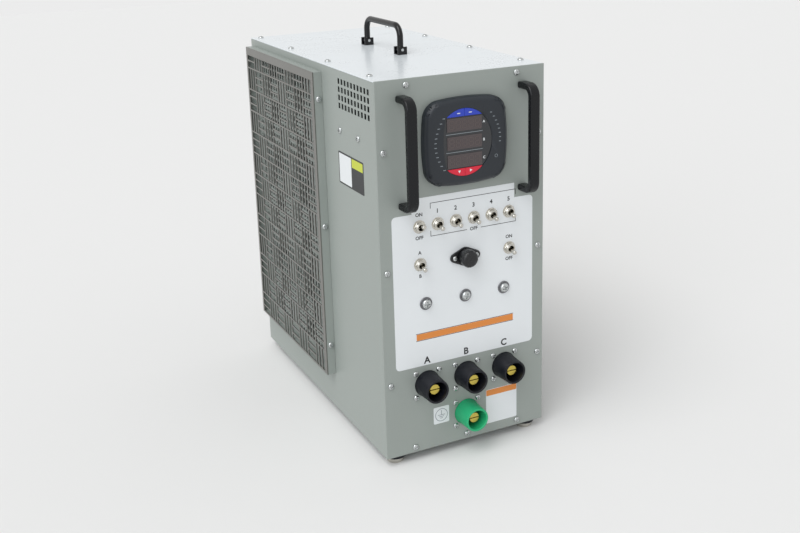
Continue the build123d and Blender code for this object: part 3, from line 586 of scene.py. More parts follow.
def evaluated_mesh(thing: bpy.types.Object) -> bpy.types.Mesh:
    """The plain mesh of an object with its modifiers applied."""
    bpy.context.view_layer.update()
    graph = bpy.context.evaluated_depsgraph_get()
    return bpy.data.meshes.new_from_object(thing.evaluated_get(graph))


def welded(node: str, flatten: bool = False) -> bmesh.types.BMesh:
    """A copy of a CAD node with its corners merged.

    Args:
        node: The CAD node.
        flatten: Whether to merge the triangles of each flat face too.
    """
    copy = bmesh.new()
    copy.from_mesh(frame["nodes"][node].data)
    bmesh.ops.remove_doubles(copy, verts=copy.verts, dist=WELD)
    if flatten:
        limit = math.radians(FLAT_ANGLE)
        bmesh.ops.dissolve_limit(copy, angle_limit=limit, verts=copy.verts, edges=copy.edges)
    return copy


def plain_mesh(name: str, source: bmesh.types.BMesh) -> bpy.types.Mesh:
    """Turn a mesh in the making into a plain one and free it."""
    data = bpy.data.meshes.new(name)
    source.to_mesh(data)
    source.free()
    return data


def softened(
    node: str, finish: Finish, slot: str, radius: float, body: str = SHOWN_BODY, steps: int = 2,
) -> bpy.types.Object:
    """Stand a copy of a CAD node with rounded edges in the node's place.

    Args:
        node: The CAD node.
        finish: Its finish.
        slot: The record's material slot.
        radius: Width of the rounding, in millimetres.
        body: The body that it moves with.
        steps: Facets across the rounding.

    Returns:
        The piece that replaces the node.
    """
    data = plain_mesh(node + "_soft", welded(node, flatten=True))
    thing = stand(node + "_finished", data, finish)
    rounding = thing.modifiers.new("rounding", "BEVEL")
    rounding.width = radius * MM
    rounding.segments = steps
    rounding.limit_method = "ANGLE"
    rounding.angle_limit = math.radians(ROUNDED_ANGLE)
    rounding.use_clamp_overlap = True
    flats = thing.modifiers.new("flats", "WEIGHTED_NORMAL")
    # The highest weight keeps the broad faces flat beside their narrow rounded edges.
    flats.weight = 100
    rounded = evaluated_mesh(thing)
    thing.modifiers.clear()
    thing.data = rounded
    return keep(thing, slot, node, body=body)


def dress(node: str, finish: Finish) -> None:
    """Give a CAD node that keeps its shape a better material."""
    data = frame["nodes"][node].data
    data.materials.clear()
    data.materials.append(finish.material())


# ------------------------------------------------------------------ repeats by geometry nodes
class Repeat:
    """A geometry-node tree that repeats one small piece, with named inputs."""

    def __init__(self, name: str, inputs: dict[str, str]) -> None:
        """Start the tree.

        Args:
            name: The tree's name.
            inputs: The socket type of each named input.
        """
        self.tree = bpy.data.node_groups.new(name, "GeometryNodeTree")
        interface = self.tree.interface
        interface.new_socket("Geometry", in_out="OUTPUT", socket_type="NodeSocketGeometry")
        interface.new_socket("Geometry", in_out="INPUT", socket_type="NodeSocketGeometry")
        for label, kind in inputs.items():
            interface.new_socket(label, in_out="INPUT", socket_type=kind)
        self.given = self.tree.nodes.new("NodeGroupInput").outputs

    def close(self, instances: bpy.types.Node) -> None:
        """End the tree: realise the instances, weld them and set their material."""
        real = add(self.tree, "GeometryNodeRealizeInstances", inputs={"Geometry": instances})
        weld = add(
            self.tree, "GeometryNodeMergeByDistance", inputs={"Geometry": real, "Distance": 0.002 * MM},
        )
        painted = add(
            self.tree, "GeometryNodeSetMaterial",
            inputs={"Geometry": weld, "Material": self.given["Finish"]},
        )
        end = self.tree.nodes.new("NodeGroupOutput")
        self.tree.links.new(painted.outputs[0], end.inputs[0])

    def run(self, name: str, start: bpy.types.Mesh, values: dict[str, Any]) -> bpy.types.Mesh:
        """Evaluate the tree once and return a plain mesh.

        Args:
            name: Name of the result.
            start: Mesh that goes in.
            values: Value of each named input.

        Returns:
            The resulting mesh.
        """
        thing = bpy.data.objects.new(name + "_start", start)
        bpy.context.scene.collection.objects.link(thing)
        modifier = thing.modifiers.new("repeat", "NODES")
        modifier.node_group = self.tree
        for item in self.tree.interface.items_tree:
            if item.in_out == "INPUT" and item.name in values:
                modifier[item.identifier] = values[item.name]
        result = evaluated_mesh(thing)
        result.name = name
        bpy.data.objects.remove(thing)
        return result


class GridRepeat(Repeat):
    """Repeats a piece over a flat grid about the origin, turning every other one if asked."""

    def __init__(self) -> None:
        """Build the tree."""
        super().__init__("grid of pieces", {
            "Columns": "NodeSocketInt", "Rows": "NodeSocketInt", "Pitch Across": "NodeSocketFloat",
            "Pitch Up": "NodeSocketFloat", "Alternate Turn": "NodeSocketFloat",
            "Piece": "NodeSocketObject", "Finish": "NodeSocketMaterial",
        })
        tree, given = self.tree, self.given
        minus, plus = {"operation": "SUBTRACT"}, {"operation": "ADD"}
        times, over = {"operation": "MULTIPLY"}, {"operation": "DIVIDE"}
        gaps = [add(tree, MATH, minus, [given[n], 1.0]) for n in ("Columns", "Rows")]
        pitches = [given["Pitch Across"], given["Pitch Up"]]
        spans = [add(tree, MATH, times, pair) for pair in zip(gaps, pitches)]
        grid = add(tree, "GeometryNodeMeshGrid", inputs={
            "Size X": spans[0], "Size Y": spans[1], "Vertices X": given["Columns"],
            "Vertices Y": given["Rows"],
        })
        spot = add(
            tree, "ShaderNodeSeparateXYZ", inputs={"Vector": add(tree, "GeometryNodeInputPosition")},
        )
        counts = []
        for offset, pitch, gap in zip(spot.outputs, pitches, gaps):
            steps = add(tree, MATH, over, [offset, pitch])
            counts.append(add(tree, MATH, plus, [steps, add(tree, MATH, times, [gap, 0.5])]))
        total = add(tree, MATH, {"operation": "ROUND"}, [add(tree, MATH, plus, counts)])
        parity = add(tree, MATH, {"operation": "MODULO"}, [total, 2.0])
        turn = add(tree, MATH, times, [parity, given["Alternate Turn"]])
        source = add(tree, "GeometryNodeObjectInfo", inputs={"Object": given["Piece"]})
        placed = add(tree, "GeometryNodeInstanceOnPoints", inputs={
            "Points": grid, "Instance": source.outputs["Geometry"],
            "Rotation": add(tree, "ShaderNodeCombineXYZ", inputs={"Z": turn}),
        })
        self.close(placed)

    def lay(
        self, master: bpy.types.Object, finish: Finish, counts: tuple[int, int], pitch: Point,
        turn: float,
    ) -> bpy.types.Mesh:
        """Lay a master piece over a grid and remove it.

        Args:
            master: One piece at the origin.
            finish: Finish of the pieces.
            counts: Pieces across and up.
            pitch: Steps across and up, in millimetres.
            turn: Turn of every other piece, in radians.

        Returns:
            The pieces as one mesh about the origin.
        """
        values = dict(zip(("Columns", "Rows"), counts))
        values |= {"Pitch Across": pitch[0] * MM, "Pitch Up": pitch[1] * MM}
        values |= {"Alternate Turn": turn, "Piece": master, "Finish": finish.material()}
        data = self.run("pieces", bpy.data.meshes.new("empty"), values)
        bpy.data.objects.remove(master)
        return data


class FastenerRepeat(Repeat):
    """Stands a fastener on each point, facing as its point says and turned at random."""

    def __init__(self) -> None:
        """Build the tree."""
        super().__init__("fasteners on points", {
            "Turn": "NodeSocketFloat", "Seed": "NodeSocketInt", "Piece": "NodeSocketObject",
            "Finish": "NodeSocketMaterial",
        })
        tree, given = self.tree, self.given
        facing = add(
            tree, "GeometryNodeInputNamedAttribute", {"data_type": "FLOAT_VECTOR"}, {"Name": "facing"}
        )
        aligned = add(tree, "FunctionNodeAlignRotationToVector", {"axis": "Z"}, {"Vector": facing})
        angle = add(
            tree, "FunctionNodeRandomValue", {"data_type": "FLOAT"},
            {"Min": 0.0, "Max": given["Turn"], "Seed": given["Seed"]},
        )
        spin = add(
            tree, "FunctionNodeAxisAngleToRotation", inputs={"Axis": (0.0, 0.0, 1.0), "Angle": angle},
        )
        turned = add(
            tree, "FunctionNodeRotateRotation", {"rotation_space": "LOCAL"},
            {"Rotation": aligned, "Rotate By": spin},
        )
        source = add(tree, "GeometryNodeObjectInfo", inputs={"Object": given["Piece"]})
        placed = add(tree, "GeometryNodeInstanceOnPoints", inputs={
            "Points": given["Geometry"], "Instance": source.outputs["Geometry"], "Rotation": turned,
        })
        self.close(placed)


@dataclass(frozen=True)
class Seat:
    """Where a fastener stands: its base point in metres and the way that it faces."""

    point: Vector
    facing: Vector


def island_seats(node: str, middle: Vector) -> list[Seat]:
    """Find the seat of each separate solid of a node of flat round parts.

    Args:
        node: The CAD node.
        middle: A point inside the case, in metres, that the parts face away from.

    Returns:
        One seat for each solid.
    """
    copy = welded(node)
    seats: list[Seat] = []
    left = set(copy.verts)
    while left:
        group, front = set(), [left.pop()]
        while front:
            vertex = front.pop()
            group.add(vertex)
            near = {edge.other_vert(vertex) for edge in vertex.link_edges} & left
            left -= near
            front += near
        low = Vector([min(v.co[k] for v in group) for k in range(3)])
        high = Vector([max(v.co[k] for v in group) for k in range(3)])
        centre, size = (low + high) / 2, high - low
        axis = min(range(3), key=lambda k: size[k])
        facing = Vector((0, 0, 0))
        facing[axis] = 1.0 if centre[axis] > middle[axis] else -1.0
        seats.append(Seat(centre - facing * (size[axis] / 2), facing))
    copy.free()
    return sorted(seats, key=lambda seat: tuple(round(v, 5) for v in seat.point))


@dataclass
class Fastener:
    """A pan-head screw with a cross recess.

    Args:
        radius: Radius of the head.
        height: Height of the head.
        recess_width: Width of the recess, as a share of the radius.
        recess_reach: Reach of the recess, as a share of the radius.
    """

    radius: float
    height: float
    recess_width: float = 0.3
    recess_reach: float = 0.62

    def master(self) -> bpy.types.Object:
        """Make one head at the origin, facing +z."""
        r, h = self.radius, self.height
        crown = [(0, 0), (0, r), (0.3 * h, r), (0.55 * h, 0.95 * r), (0.8 * h, 0.8 * r)]
        crown += [(0.95 * h, 0.5 * r), (h, 0.0)]
        head = Shape().lathe(Matrix.Identity(4), crown, sides=28).object("head", ZINC)
        half, reach = self.recess_width * r / 2, self.recess_reach * r
        cross = Shape()
        for x, y in ((half, reach), (reach, half)):
            cross.bar(Matrix.Identity(4), (-x, x), (-y, y), (0.42 * h, 1.5 * h))
        cutter = cross.object("recess", ZINC)
        cut = head.modifiers.new("recess", "BOOLEAN")
        cut.object, cut.operation, cut.solver = cutter, "DIFFERENCE", "EXACT"
        cut.use_self = True
        data = evaluated_mesh(head)
        head.modifiers.clear()
        head.data = data
        bpy.data.objects.remove(cutter)
        return head


@dataclass
class Fasteners:
    """All the screws, studs and feet, each group stood on the seats of its CAD node."""

    faces: CaseFaces
    repeat: FastenerRepeat = field(default_factory=FastenerRepeat)
    seed: int = 7

    def stand_on_node(
        self, node: str, master: bpy.types.Object, finish: Finish, slot: str, turn: float = math.tau
    ) -> bpy.types.Object:
        """Stand a master piece on each solid of a node and replace the node.

        Args:
            node: The CAD node of the fasteners.
            master: One fastener at the origin; it is removed.
            finish: Their finish.
            slot: The record's material slot.
            turn: Largest random turn, in radians.

        Returns:
            The piece that replaces the node.
        """
        seats = island_seats(node, self.faces.middle)
        points = bpy.data.meshes.new(node + "_points")
        points.from_pydata([seat.point for seat in seats], [], [])
        facing = points.attributes.new("facing", "FLOAT_VECTOR", "POINT")
        facing.data.foreach_set("vector", [v for seat in seats for v in seat.facing])
        values = {"Turn": turn, "Seed": self.seed, "Piece": master, "Finish": finish.material()}
        data = self.repeat.run(node, points, values)
        bpy.data.objects.remove(master)
        return keep(stand(node + "_finished", data, finish), slot, node)

    def build(self) -> None:
        """Make every group."""
        for node, head in (
            ("case_screws", Fastener(4.3, 2.8)), ("front_panel_screws", Fastener(4.3, 2.8)),
            ("receptacle_screws", Fastener(3.9, 2.6)), ("fuse_holder_screws", Fastener(3.4, 2.0)),
            ("stud_screws", Fastener(6.4, 4.4)),
        ):
            self.stand_on_node(node, head.master(), ZINC, "zinc_screw")
        washer = [(0, 5.0), (0, 8.9), (1.0, 8.9), (1.4, 8.5), (1.4, 5.0)]
        ring = Shape().lathe(Matrix.Identity(4), washer, loop=True).object("washer", DARK_WASHER)
        self.stand_on_node("stud_washers", ring, DARK_WASHER, "dark_washer", 0.0)
        pad = [(0, 0), (0, 13.6), (0.6, 14.6), (1.6, 15.0), (4.6, 15.0), (5.9, 14.3), (6.5, 12.6)]
        foot = Shape().lathe(Matrix.Identity(4), pad + [(6.5, 0)]).object("pad", RUBBER_BLACK)
        self.stand_on_node("foot_pads", foot, RUBBER_BLACK, "black_rubber", 0.0)
        disc = [(0, 0), (0, 12.0), (4.8, 12.0), (6.1, 11.4), (6.5, 10.2), (6.5, 0)]
        glide = Shape().lathe(Matrix.Identity(4), disc).object("glide", NICKEL)
        self.stand_on_node("foot_glides", glide, NICKEL, "nickel_steel", 0.0)


# ------------------------------------------------------------------ the case
@dataclass
class SheetMetalCase:
    """The sheets of the case, with the round edges that bending and coating leave.

    Args:
        faces: The faces of the case.
        grid: The tree that repeats the perforations.
        edge: Rounding of a sheet's edge.
        field_margin: Width of plain sheet between the guard and the perforated field.
        hole_width: Width of a perforation.
        hole_height: Height of a perforation.
    """

    faces: CaseFaces
    grid: GridRepeat
    edge: float = 0.5
    field_margin: float = 16.0
    field_sheet: float = 1.5
    field_columns: int = 24
    field_rows: int = 38
    hole_width: float = 6.6
    hole_height: float = 7.6

    def build(self) -> None:
        """Make the sheets and the perforated field."""
        for node in ("front_panel", "left_side_panel", "right_side_panel", "rear_panel"):
            slot = "painted_front" if node == "front_panel" else "painted_case"
            softened(node, CASE_PAINT, slot, self.edge)
        softened("top_cover", COVER_PAINT, "painted_cover", self.edge)
        dress("base_pan", CASE_PAINT)
        dress("divider_panel", GALVANISED)
        self._perforated_field()

    def _perforated_field(self) -> None:
        """Fill the exhaust window with punched sheet, one cell for each hole."""
        low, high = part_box("exhaust_guard_frame")
        margin = self.field_margin * MM
        deep = (high.y - low.y - 2 * margin) / MM
        tall = (high.z - low.z - 2 * margin) / MM
        pitch = (deep / self.field_columns, tall / self.field_rows)
        hole = (-self.hole_width / 2, self.hole_width / 2)
        hole += (-self.hole_height / 2, self.hole_height / 2)
        cell = Shape().pierced_plate(
            (-pitch[0] / 2, pitch[0] / 2), (-pitch[1] / 2, pitch[1] / 2), [hole], self.field_sheet, 0.3,
        )
        master = cell.object("cell", CASE_PAINT, outwards=False)
        counts = (self.field_columns, self.field_rows)
        data = self.grid.lay(master, CASE_PAINT, counts, pitch, 0.0)
        left = self.faces.left
        data.transform(left.matrix(
            -((low.y + high.y) / 2 - left.start.y) / MM, ((low.z + high.z) / 2 - left.start.z) / MM,
            -0.05,
        ))
        keep(stand("perforated_field", data, CASE_PAINT), "painted_case")


@dataclass
class ExhaustGuard:
    """The standing guard: a folded frame and a basket-weave screen of punched slots.

    Args:
        faces: The faces of the case.
        grid: The tree that repeats the tiles.
        tile: Side of one tile.
        bar: Width of the metal between two slots.
        columns: Tiles from front to rear.
        rows: Full tiles from bottom to top.
        front_margin: Plain metal in front of the first tile.
        bottom_margin: Plain metal under the first tile.
        top_margin: Plain metal over the last slot.
    """

    faces: CaseFaces
    grid: GridRepeat
    tile: float = 34.8
    bar: float = 2.6
    slots: int = 3
    columns: int = 8
    rows: int = 12
    front_margin: float = 8.0
    bottom_margin: float = 1.6
    top_margin: float = 12.0
    sheet: float = 1.5
    rim: float = 0.35

    def build(self) -> None:
        """Make the frame and the screen."""
        softened("exhaust_guard_frame", CASE_PAINT, "painted_case", 0.4)
        low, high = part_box("exhaust_guard_screen")
        left = self.faces.left
        front = -(low.y - left.start.y) / MM - self.front_margin
        bottom = (low.z - left.start.z) / MM + self.bottom_margin
        out = (left.start.x - low.x) / MM
        wide, tall = self.columns * self.tile, self.rows * self.tile
        short = (high.z - left.start.z) / MM - self.top_margin - bottom - tall
        parts = [self._tiles(left.matrix(front - wide / 2, bottom + tall / 2, out))]
        for first in range(2):
            centre = front - wide / 2 - (first - 0.5) * self.tile
            level = bottom + tall + self.tile / 2
            parts.append(self._short_row(first, short, left.matrix(centre, level, out)))
        across, up = (front - wide, front), (bottom, bottom + tall + short)
        parts.append(self._border(left, low, high, across, up, out))
        screen = bmesh.new()
        for part in parts:
            screen.from_mesh(part)
        bmesh.ops.remove_doubles(screen, verts=screen.verts, dist=WELD)
        data = plain_mesh("basket_weave_screen", screen)
        piece = stand("basket_weave_screen", data, PUNCHED_STEEL)
        keep(piece, "punched_steel", "exhaust_guard_screen")

    def _slots(self, upright: bool, ceiling: float) -> list[tuple[float, float, float, float]]:
        """The slots of one tile about the origin, cut short at a ceiling."""
        wide = self.tile / self.slots - self.bar
        long = self.tile - self.bar
        found = []
        for k in range(self.slots):
            shift = (k - (self.slots - 1) / 2) * self.tile / self.slots
            across = (shift - wide / 2, shift + wide / 2)
            along = (-long / 2, long / 2)
            x, y = (across, along) if upright else (along, across)
            top = min(y[1], ceiling)
            if top - y[0] > self.bar:
                found.append((*x, y[0], top))
        return found

    def _tile_plate(self, upright: bool, ceiling: float) -> bpy.types.Object:
        """One tile of the screen, up to a ceiling."""
        half = self.tile / 2
        top = min(half, ceiling)
        tile = Shape().pierced_plate(
            (-half, half), (-half, top), self._slots(upright, ceiling), self.sheet, self.rim
        )
        return tile.object("tile", PUNCHED_STEEL, outwards=False)

    def _tiles(self, place: Matrix) -> bpy.types.Mesh:
        """The full tiles, each turned a quarter against its neighbours."""
        upright = self.columns % 2 == 1
        master = self._tile_plate(upright, self.tile)
        counts, pitch = (self.columns, self.rows), (self.tile, self.tile)
        data = self.grid.lay(master, PUNCHED_STEEL, counts, pitch, math.pi / 2)
        data.transform(place)
        return data

    def _short_row(self, first: int, short: float, place: Matrix) -> bpy.types.Mesh:
        """Every other tile of the top row, which the margin cuts short."""
        ceiling = short - self.tile / 2
        master = self._tile_plate(first == 0, ceiling)
        counts, pitch = (self.columns // 2, 1), (2 * self.tile, self.tile)
        data = self.grid.lay(master, PUNCHED_STEEL, counts, pitch, 0.0)
        data.transform(place)
        return data

    def _border(
        self, left: Face, low: Vector, high: Vector, across: Point, up: Point, out: float
    ) -> bpy.types.Mesh:
        """The plain margins of the screen, as a plate with one opening for the tiles."""
        x = (-(high.y - left.start.y) / MM, -(low.y - left.start.y) / MM)
        y = ((low.z - left.start.z) / MM, (high.z - left.start.z) / MM)
        border = Shape()
        plate = border.mesh
        outer = [(x[0], y[0]), (x[1], y[0]), (x[1], y[1]), (x[0], y[1])]
        inner = [(across[0], up[0]), (across[1], up[0]), (across[1], up[1]), (across[0], up[1])]
        rings = {}
        for name, outline in (("outer", outer), ("inner", inner)):
            for level in (0.0, -self.sheet):
                rings[name, level] = [plate.verts.new(Vector((u, v, level)) * MM) for u, v in outline]
        top, back = 0.0, -self.sheet
        for i in range(4):
            j = (i + 1) % 4
            a, b = rings["outer", top], rings["inner", top]
            plate.faces.new((a[i], a[j], b[j], b[i]))
            a, b = rings["outer", back], rings["inner", back]
            plate.faces.new((a[j], a[i], b[i], b[j]))
            a, b = rings["outer", top], rings["outer", back]
            plate.faces.new((a[j], a[i], b[i], b[j]))
        data = plain_mesh("border", plate)
        data.transform(left.matrix(0, 0, out))
        return data


# ------------------------------------------------------------------ handles
@dataclass
class FrontHandles:
    """The two dipped pull handles on the front panel."""

    edge: float = 2.6

    def build(self) -> None:
        """Make both handles."""
        for side in ("left", "right"):
            softened("front_handle_" + side, HANDLE_VINYL, "black_handle", self.edge, steps=4)


@dataclass
class FoldingHandle:
    """The bail on the cover: a round bar with an eye at each end, between two blocks.

    Args:
        faces: The faces of the case; not used.
        bar: Radius of the bar.
        bend: Radius of its two bends.
        eye: Radius of an eye.
        pin: Radius of the bore in an eye.
    """

    faces: CaseFaces
    bar: float = 4.4
    bend: float = 16.0
    eye: float = 5.3
    pin: float = 2.08

    def build(self) -> None:
        """Make the bail, its pins and its blocks."""
        low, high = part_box("top_handle")
        pivot = low.z + self.eye * MM
        ends = (low.y + self.bar * MM, high.y - self.bar * MM)
        middle, top = (low.x + high.x) / 2, high.z - self.bar * MM
        stem = pivot + 0.5 * self.eye * MM
        corners = [
            Vector((middle, y, z))
            for y, z in ((ends[0], stem), (ends[0], top), (ends[1], top), (ends[1], stem))
        ]
        bail = Shape().sweep(
            rounded_path(corners, self.bend, 12), circle(self.bar, 24), Vector((1, 0, 0))
        )
        half, soft = self.bar, 0.8
        eye = [(-half, self.pin), (-half, self.eye - soft), (soft - half, self.eye)]
        eye += [(half - soft, self.eye), (half, self.eye - soft), (half, self.pin)]
        for y in ends:
            across = Matrix.Translation((middle, y, pivot)) @ Matrix.Rotation(-math.pi / 2, 4, "X")
            bail.lathe(across, eye, loop=True)
        piece = bail.object("folding_handle", BLACK_ENAMEL)
        keep(piece, "black_steel", "top_handle", body="top_handle")
        softened("handle_blocks", BLACK_ENAMEL, "black_steel", 0.7)
        dress("handle_pins", ZINC)


# ------------------------------------------------------------------ power meter
class Prints:
    """Thin printed shapes and figures on a face, gathered by ink."""

    def __init__(self, face: Face, level: float, thickness: float = INK) -> None:
        """Start with no prints.

        Args:
            face: The face that is printed.
            level: Height of the printed surface above the face.
            thickness: Height of the ink.
        """
        self.face, self.level, self.thickness = face, level, thickness
        self.shapes: dict[str, tuple[Finish, Shape]] = {}

    def _shape(self, ink: Finish) -> Shape:
        """The shape that holds one ink."""
        return self.shapes.setdefault(ink.name, (ink, Shape()))[1]

    def area(
        self, ink: Finish, outline: Sequence[Point], across: float, up: float, lift: float = 0.0
    ) -> None:
        """Print a filled outline about a place; lift raises one ink over another."""
        place = self.face.matrix(across, up, self.level + lift)
        self._shape(ink).prism(place, outline, -SINK, self.thickness)

    def line(self, ink: Finish, start: Point, end: Point, width: float, lift: float = 0.0) -> None:
        """Print a straight line between two places."""
        run, rise = end[0] - start[0], end[1] - start[1]
        length = math.hypot(run, rise)
        u, v = run / length * width / 2, rise / length * width / 2
        outline = [
            (start[0] - u + v, start[1] - v - u), (end[0] + u + v, end[1] + v - u),
            (end[0] + u - v, end[1] + v + u), (start[0] - u - v, start[1] - v + u),
        ]
        self.area(ink, outline, 0, 0, lift)

    def ring(self, ink: Finish, centre: Point, radius: float, width: float, lift: float = 0.0) -> None:
        """Print a ring about a place."""
        inner, outer, top = radius - width / 2, radius + width / 2, self.thickness
        section = [(-SINK, inner), (-SINK, outer), (top, outer), (top, inner)]
        self._shape(ink).lathe(self.face.matrix(*centre, self.level + lift), section, sides=36, loop=True)

    def figure(self, ink: Finish, text: str, across: float, up: float, height: float) -> None:
        """Print a short generic figure, centred on a place."""
        curve = bpy.data.curves.new("figure", "FONT")
        curve.body, curve.size = text, height * 1.5 * MM
        curve.align_x, curve.align_y = "CENTER", "CENTER"
        curve.extrude, curve.offset = self.thickness / 2 * MM, 0.042 * height * MM
        curve.resolution_u = 3
        thing = bpy.data.objects.new("figure", curve)
        bpy.context.scene.collection.objects.link(thing)
        data = evaluated_mesh(thing)
        bpy.data.objects.remove(thing)
        data.transform(self.face.matrix(across, up, self.level + self.thickness / 2))
        self._shape(ink).mesh.from_mesh(data)

    def build(self, name: str, slot: str) -> None:
        """Stand one piece for each ink."""
        for ink, shape in self.shapes.values():
            label = name + "_" + ink.name.replace(" ", "_")
            keep(shape.object(label, ink), slot)


@dataclass
class PowerMeter:
    """The panel meter: a rounded bezel, a dark face, three windows and two pairs of keys.

    Args:
        faces: The faces of the case.
        height: Height of the meter's middle above the case bottom.
        depth: Reach of the bezel from the panel.
        window_x: Middle of the windows.
        window_pitch: Step from one window to the next.
    """

    faces: CaseFaces
    height: float = 431.5
    depth: float = 14.0
    rounding: float = 2.6
    window_x: float = -5.0
    window_pitch: float = 24.0
    window_half: float = 25.5
    digit_height: float = 10.5
    digit_width: float = 6.2
    digits: int = 5
    mark_reach: float = 47.6
    mark_bow: float = 0.0109

    def build(self) -> None:
        """Make the bezel, the face, the windows, the keys and the marks."""
        self._bezel()
        softened("meter_lens", METER_FACE, "meter_glass", 0.2)
        softened("meter_windows", DISPLAY, "display_window", 0.2)
        for level, finish, slot in (("upper", KEY_BLUE, "button_blue"), ("lower", KEY_RED, "button_red")):
            for side in ("left", "right"):
                node = "meter_button_" + level + "_" + side
                softened(node, finish, slot, 0.35, body=node)
        dress("meter_case", METER_ABS)
        self._face_marks()
        self._bezel_marks()

    def _bezel(self) -> None:
        """Round the chamfer of the bezel into one soft shoulder."""
        shell = welded("meter_bezel", flatten=True)
        middle = self.faces.front.at(0, self.height)
        front = self.faces.front.start.y

        def on_shoulder(edge: bmesh.types.BMEdge) -> bool:
            """Whether an edge runs round the top or the foot of the chamfer."""
            for vertex in edge.verts:
                out = (front - vertex.co.y) / MM
                away = (vertex.co - middle)
                away.y = 0.0
                if out < 0.5 or out > self.depth + 0.1 or away.length < 50.5 * MM:
                    return False
            ends = [(front - v.co.y) / MM for v in edge.verts]
            return abs(ends[0] - ends[1]) < 0.05 and len(edge.link_faces) == 2

        edges = [edge for edge in shell.edges if on_shoulder(edge)]
        bmesh.ops.bevel(
            shell, geom=edges, offset=self.rounding * MM, segments=4, profile=0.5, affect="EDGES",
            clamp_overlap=False,
        )
        data = plain_mesh("meter_bezel_finished", shell)
        keep(stand("meter_bezel_finished", data, METER_ABS), "meter_plastic", "meter_bezel")

    def _face_marks(self) -> None:
        """Phase letters, separators, unlit digits and key signs."""
        face = Prints(self.faces.front, self.depth - 0.9)
        windows = Prints(self.faces.front, self.depth - 0.1)
        for row, letter in enumerate("ABC"):
            up = self.height + (1 - row) * self.window_pitch
            face.figure(INK_WHITE, letter, self.window_x + self.window_half + 3.4, up, 3.2)
            for k in range(self.digits):
                across = self.window_x + (k - (self.digits - 1) / 2) * 9.4
                self._digit(windows, across, up)
        for side in (-0.5, 0.5):
            up = self.height + side * self.window_pitch
            ends = [(self.window_x + k * (self.window_half + 1), up) for k in (-1, 1)]
            face.line(INK_GREY, ends[0], ends[1], 0.7)
        face.build("meter_face_print", "meter_glass")
        windows.build("meter_digits", "display_window")
        self._key_signs()

    def _digit(self, prints: Prints, across: float, up: float) -> None:
        """One unlit seven-segment digit."""
        x, y = self.digit_width / 2, self.digit_height / 2
        for level in (-y, 0.0, y):
            prints.line(DIGIT, (across - x + 1.2, up + level), (across + x - 1.2, up + level), 0.9)
        for side in (-x, x):
            for part in (-y, 0.0):
                ends = (up + part + 1.0, up + part + y - 1.0)
                prints.line(DIGIT, (across + side, ends[0]), (across + side, ends[1]), 0.9)

    def _key_signs(self) -> None:
        """Light marks on the upper keys and arrows on the lower ones, riding on each key."""
        arrows = {
            "left": [(-2.0, 1.4), (0.0, -2.2), (2.0, 1.4)],
            "right": [(-1.6, -2.0), (2.2, 0.0), (-1.6, 2.0)],
        }
        bar = [(-2.2, -0.55), (2.2, -0.55), (2.2, 0.55), (-2.2, 0.55)]
        for side, way in (("left", -1), ("right", 1)):
            for level, up in (("upper", 38.6), ("lower", -38.2)):
                node = "meter_button_" + level + "_" + side
                outline = bar if level == "upper" else arrows[side]
                place = self.faces.front.matrix(self.window_x + way * 8.5, self.height + up, self.depth)
                sign = Shape().prism(place, outline, -SINK, INK)
                slot = "button_blue" if level == "upper" else "button_red"
                keep(sign.object(node + "_sign", INK_WHITE), slot, body=node)

    def _bezel_marks(self) -> None:
        """Columns of small plain marks each side of the face, and a round pulse lamp."""
        marks = Prints(self.faces.front, self.depth)
        for side, count, top, step in ((-1, 12, 34.0, 6.15), (1, 8, 35.0, 5.7)):
            for k in range(count):
                up = top - k * step
                across = side * (self.mark_reach - self.mark_bow * up * up)
                mark = rounded_rectangle(3.3 - 0.3 * side, 0.9, 0.3, 1)
                marks.area(INK_GREY, mark, across, self.height + up)
        marks.ring(INK_GREY, (41.6, self.height - 23.9), 2.0, 0.5)
        marks.build("meter_marks", "meter_plastic")


# ------------------------------------------------------------------ labels
@dataclass
class ControlLabel:
    """The white overlay behind the switches, with plain numbers, ON and OFF.

    Args:
        faces: The faces of the case.
        level: Thickness of the overlay.
        row_x: Middle of the first switch of the upper row.
        pitch: Step from switch to switch.
        row_z: Height of the upper row.
        low_z: Height of the lower row.
    """

    faces: CaseFaces
    level: float = 0.3
    row_x: float = -67.0
    pitch: float = 27.1
    row_z: float = 323.4
    low_z: float = 271.3
    last_x: float = 69.0

    def build(self) -> None:
        """Dress the overlay and print it."""
        dress("control_label", LABEL_FILM)
        prints = Prints(self.faces.front, self.level)
        for step in range(1, 6):
            across = self.row_x + step * self.pitch
            prints.figure(INK_BLACK, str(step), across, self.row_z + 17.5, 5.4)
        for text, across, up in (
            ("ON", self.row_x, self.row_z + 16.0), ("OFF", self.row_x, self.row_z - 15.6),
            ("A", self.row_x, self.low_z + 16.0), ("B", self.row_x, self.low_z - 16.4),
            ("ON", self.last_x, self.low_z + 16.0), ("OFF", self.last_x, self.low_z - 15.6),
            ("OFF", self.row_x + 3 * self.pitch, self.row_z - 15.6),
        ):
            prints.figure(INK_BLACK, text, across, up, 4.4)
        for across, letter in ((-60.0, "A"), (0.0, "B"), (60.0, "C")):
            prints.figure(INK_BLACK, letter, across, 133.0, 9.0)
        self._brackets(prints)
        band = rounded_rectangle(150.0, 9.0, 0.6, 2)
        prints.area(INK_ORANGE, band, 0.0, 168.5)
        for up in (163.4, 173.6):
            prints.line(INK_BLACK, (-75.4, up), (75.4, up), 0.7)
        prints.build("control_print", "label_film")

    def _brackets(self, prints: Prints) -> None:
        """The two lines that gather the five load steps."""
        left, right = self.row_x + 0.62 * self.pitch, self.row_x + 5.4 * self.pitch
        middle = (left + right) / 2
        for up, drop, gap in ((353.0, -7.0, 0.0), (307.8, 7.0, 11.0)):
            for side, end in ((-1, left), (1, right)):
                prints.line(INK_BLACK, (middle + side * gap, up), (end, up), 0.8)
                prints.line(INK_BLACK, (end, up), (end, up + drop), 0.8)


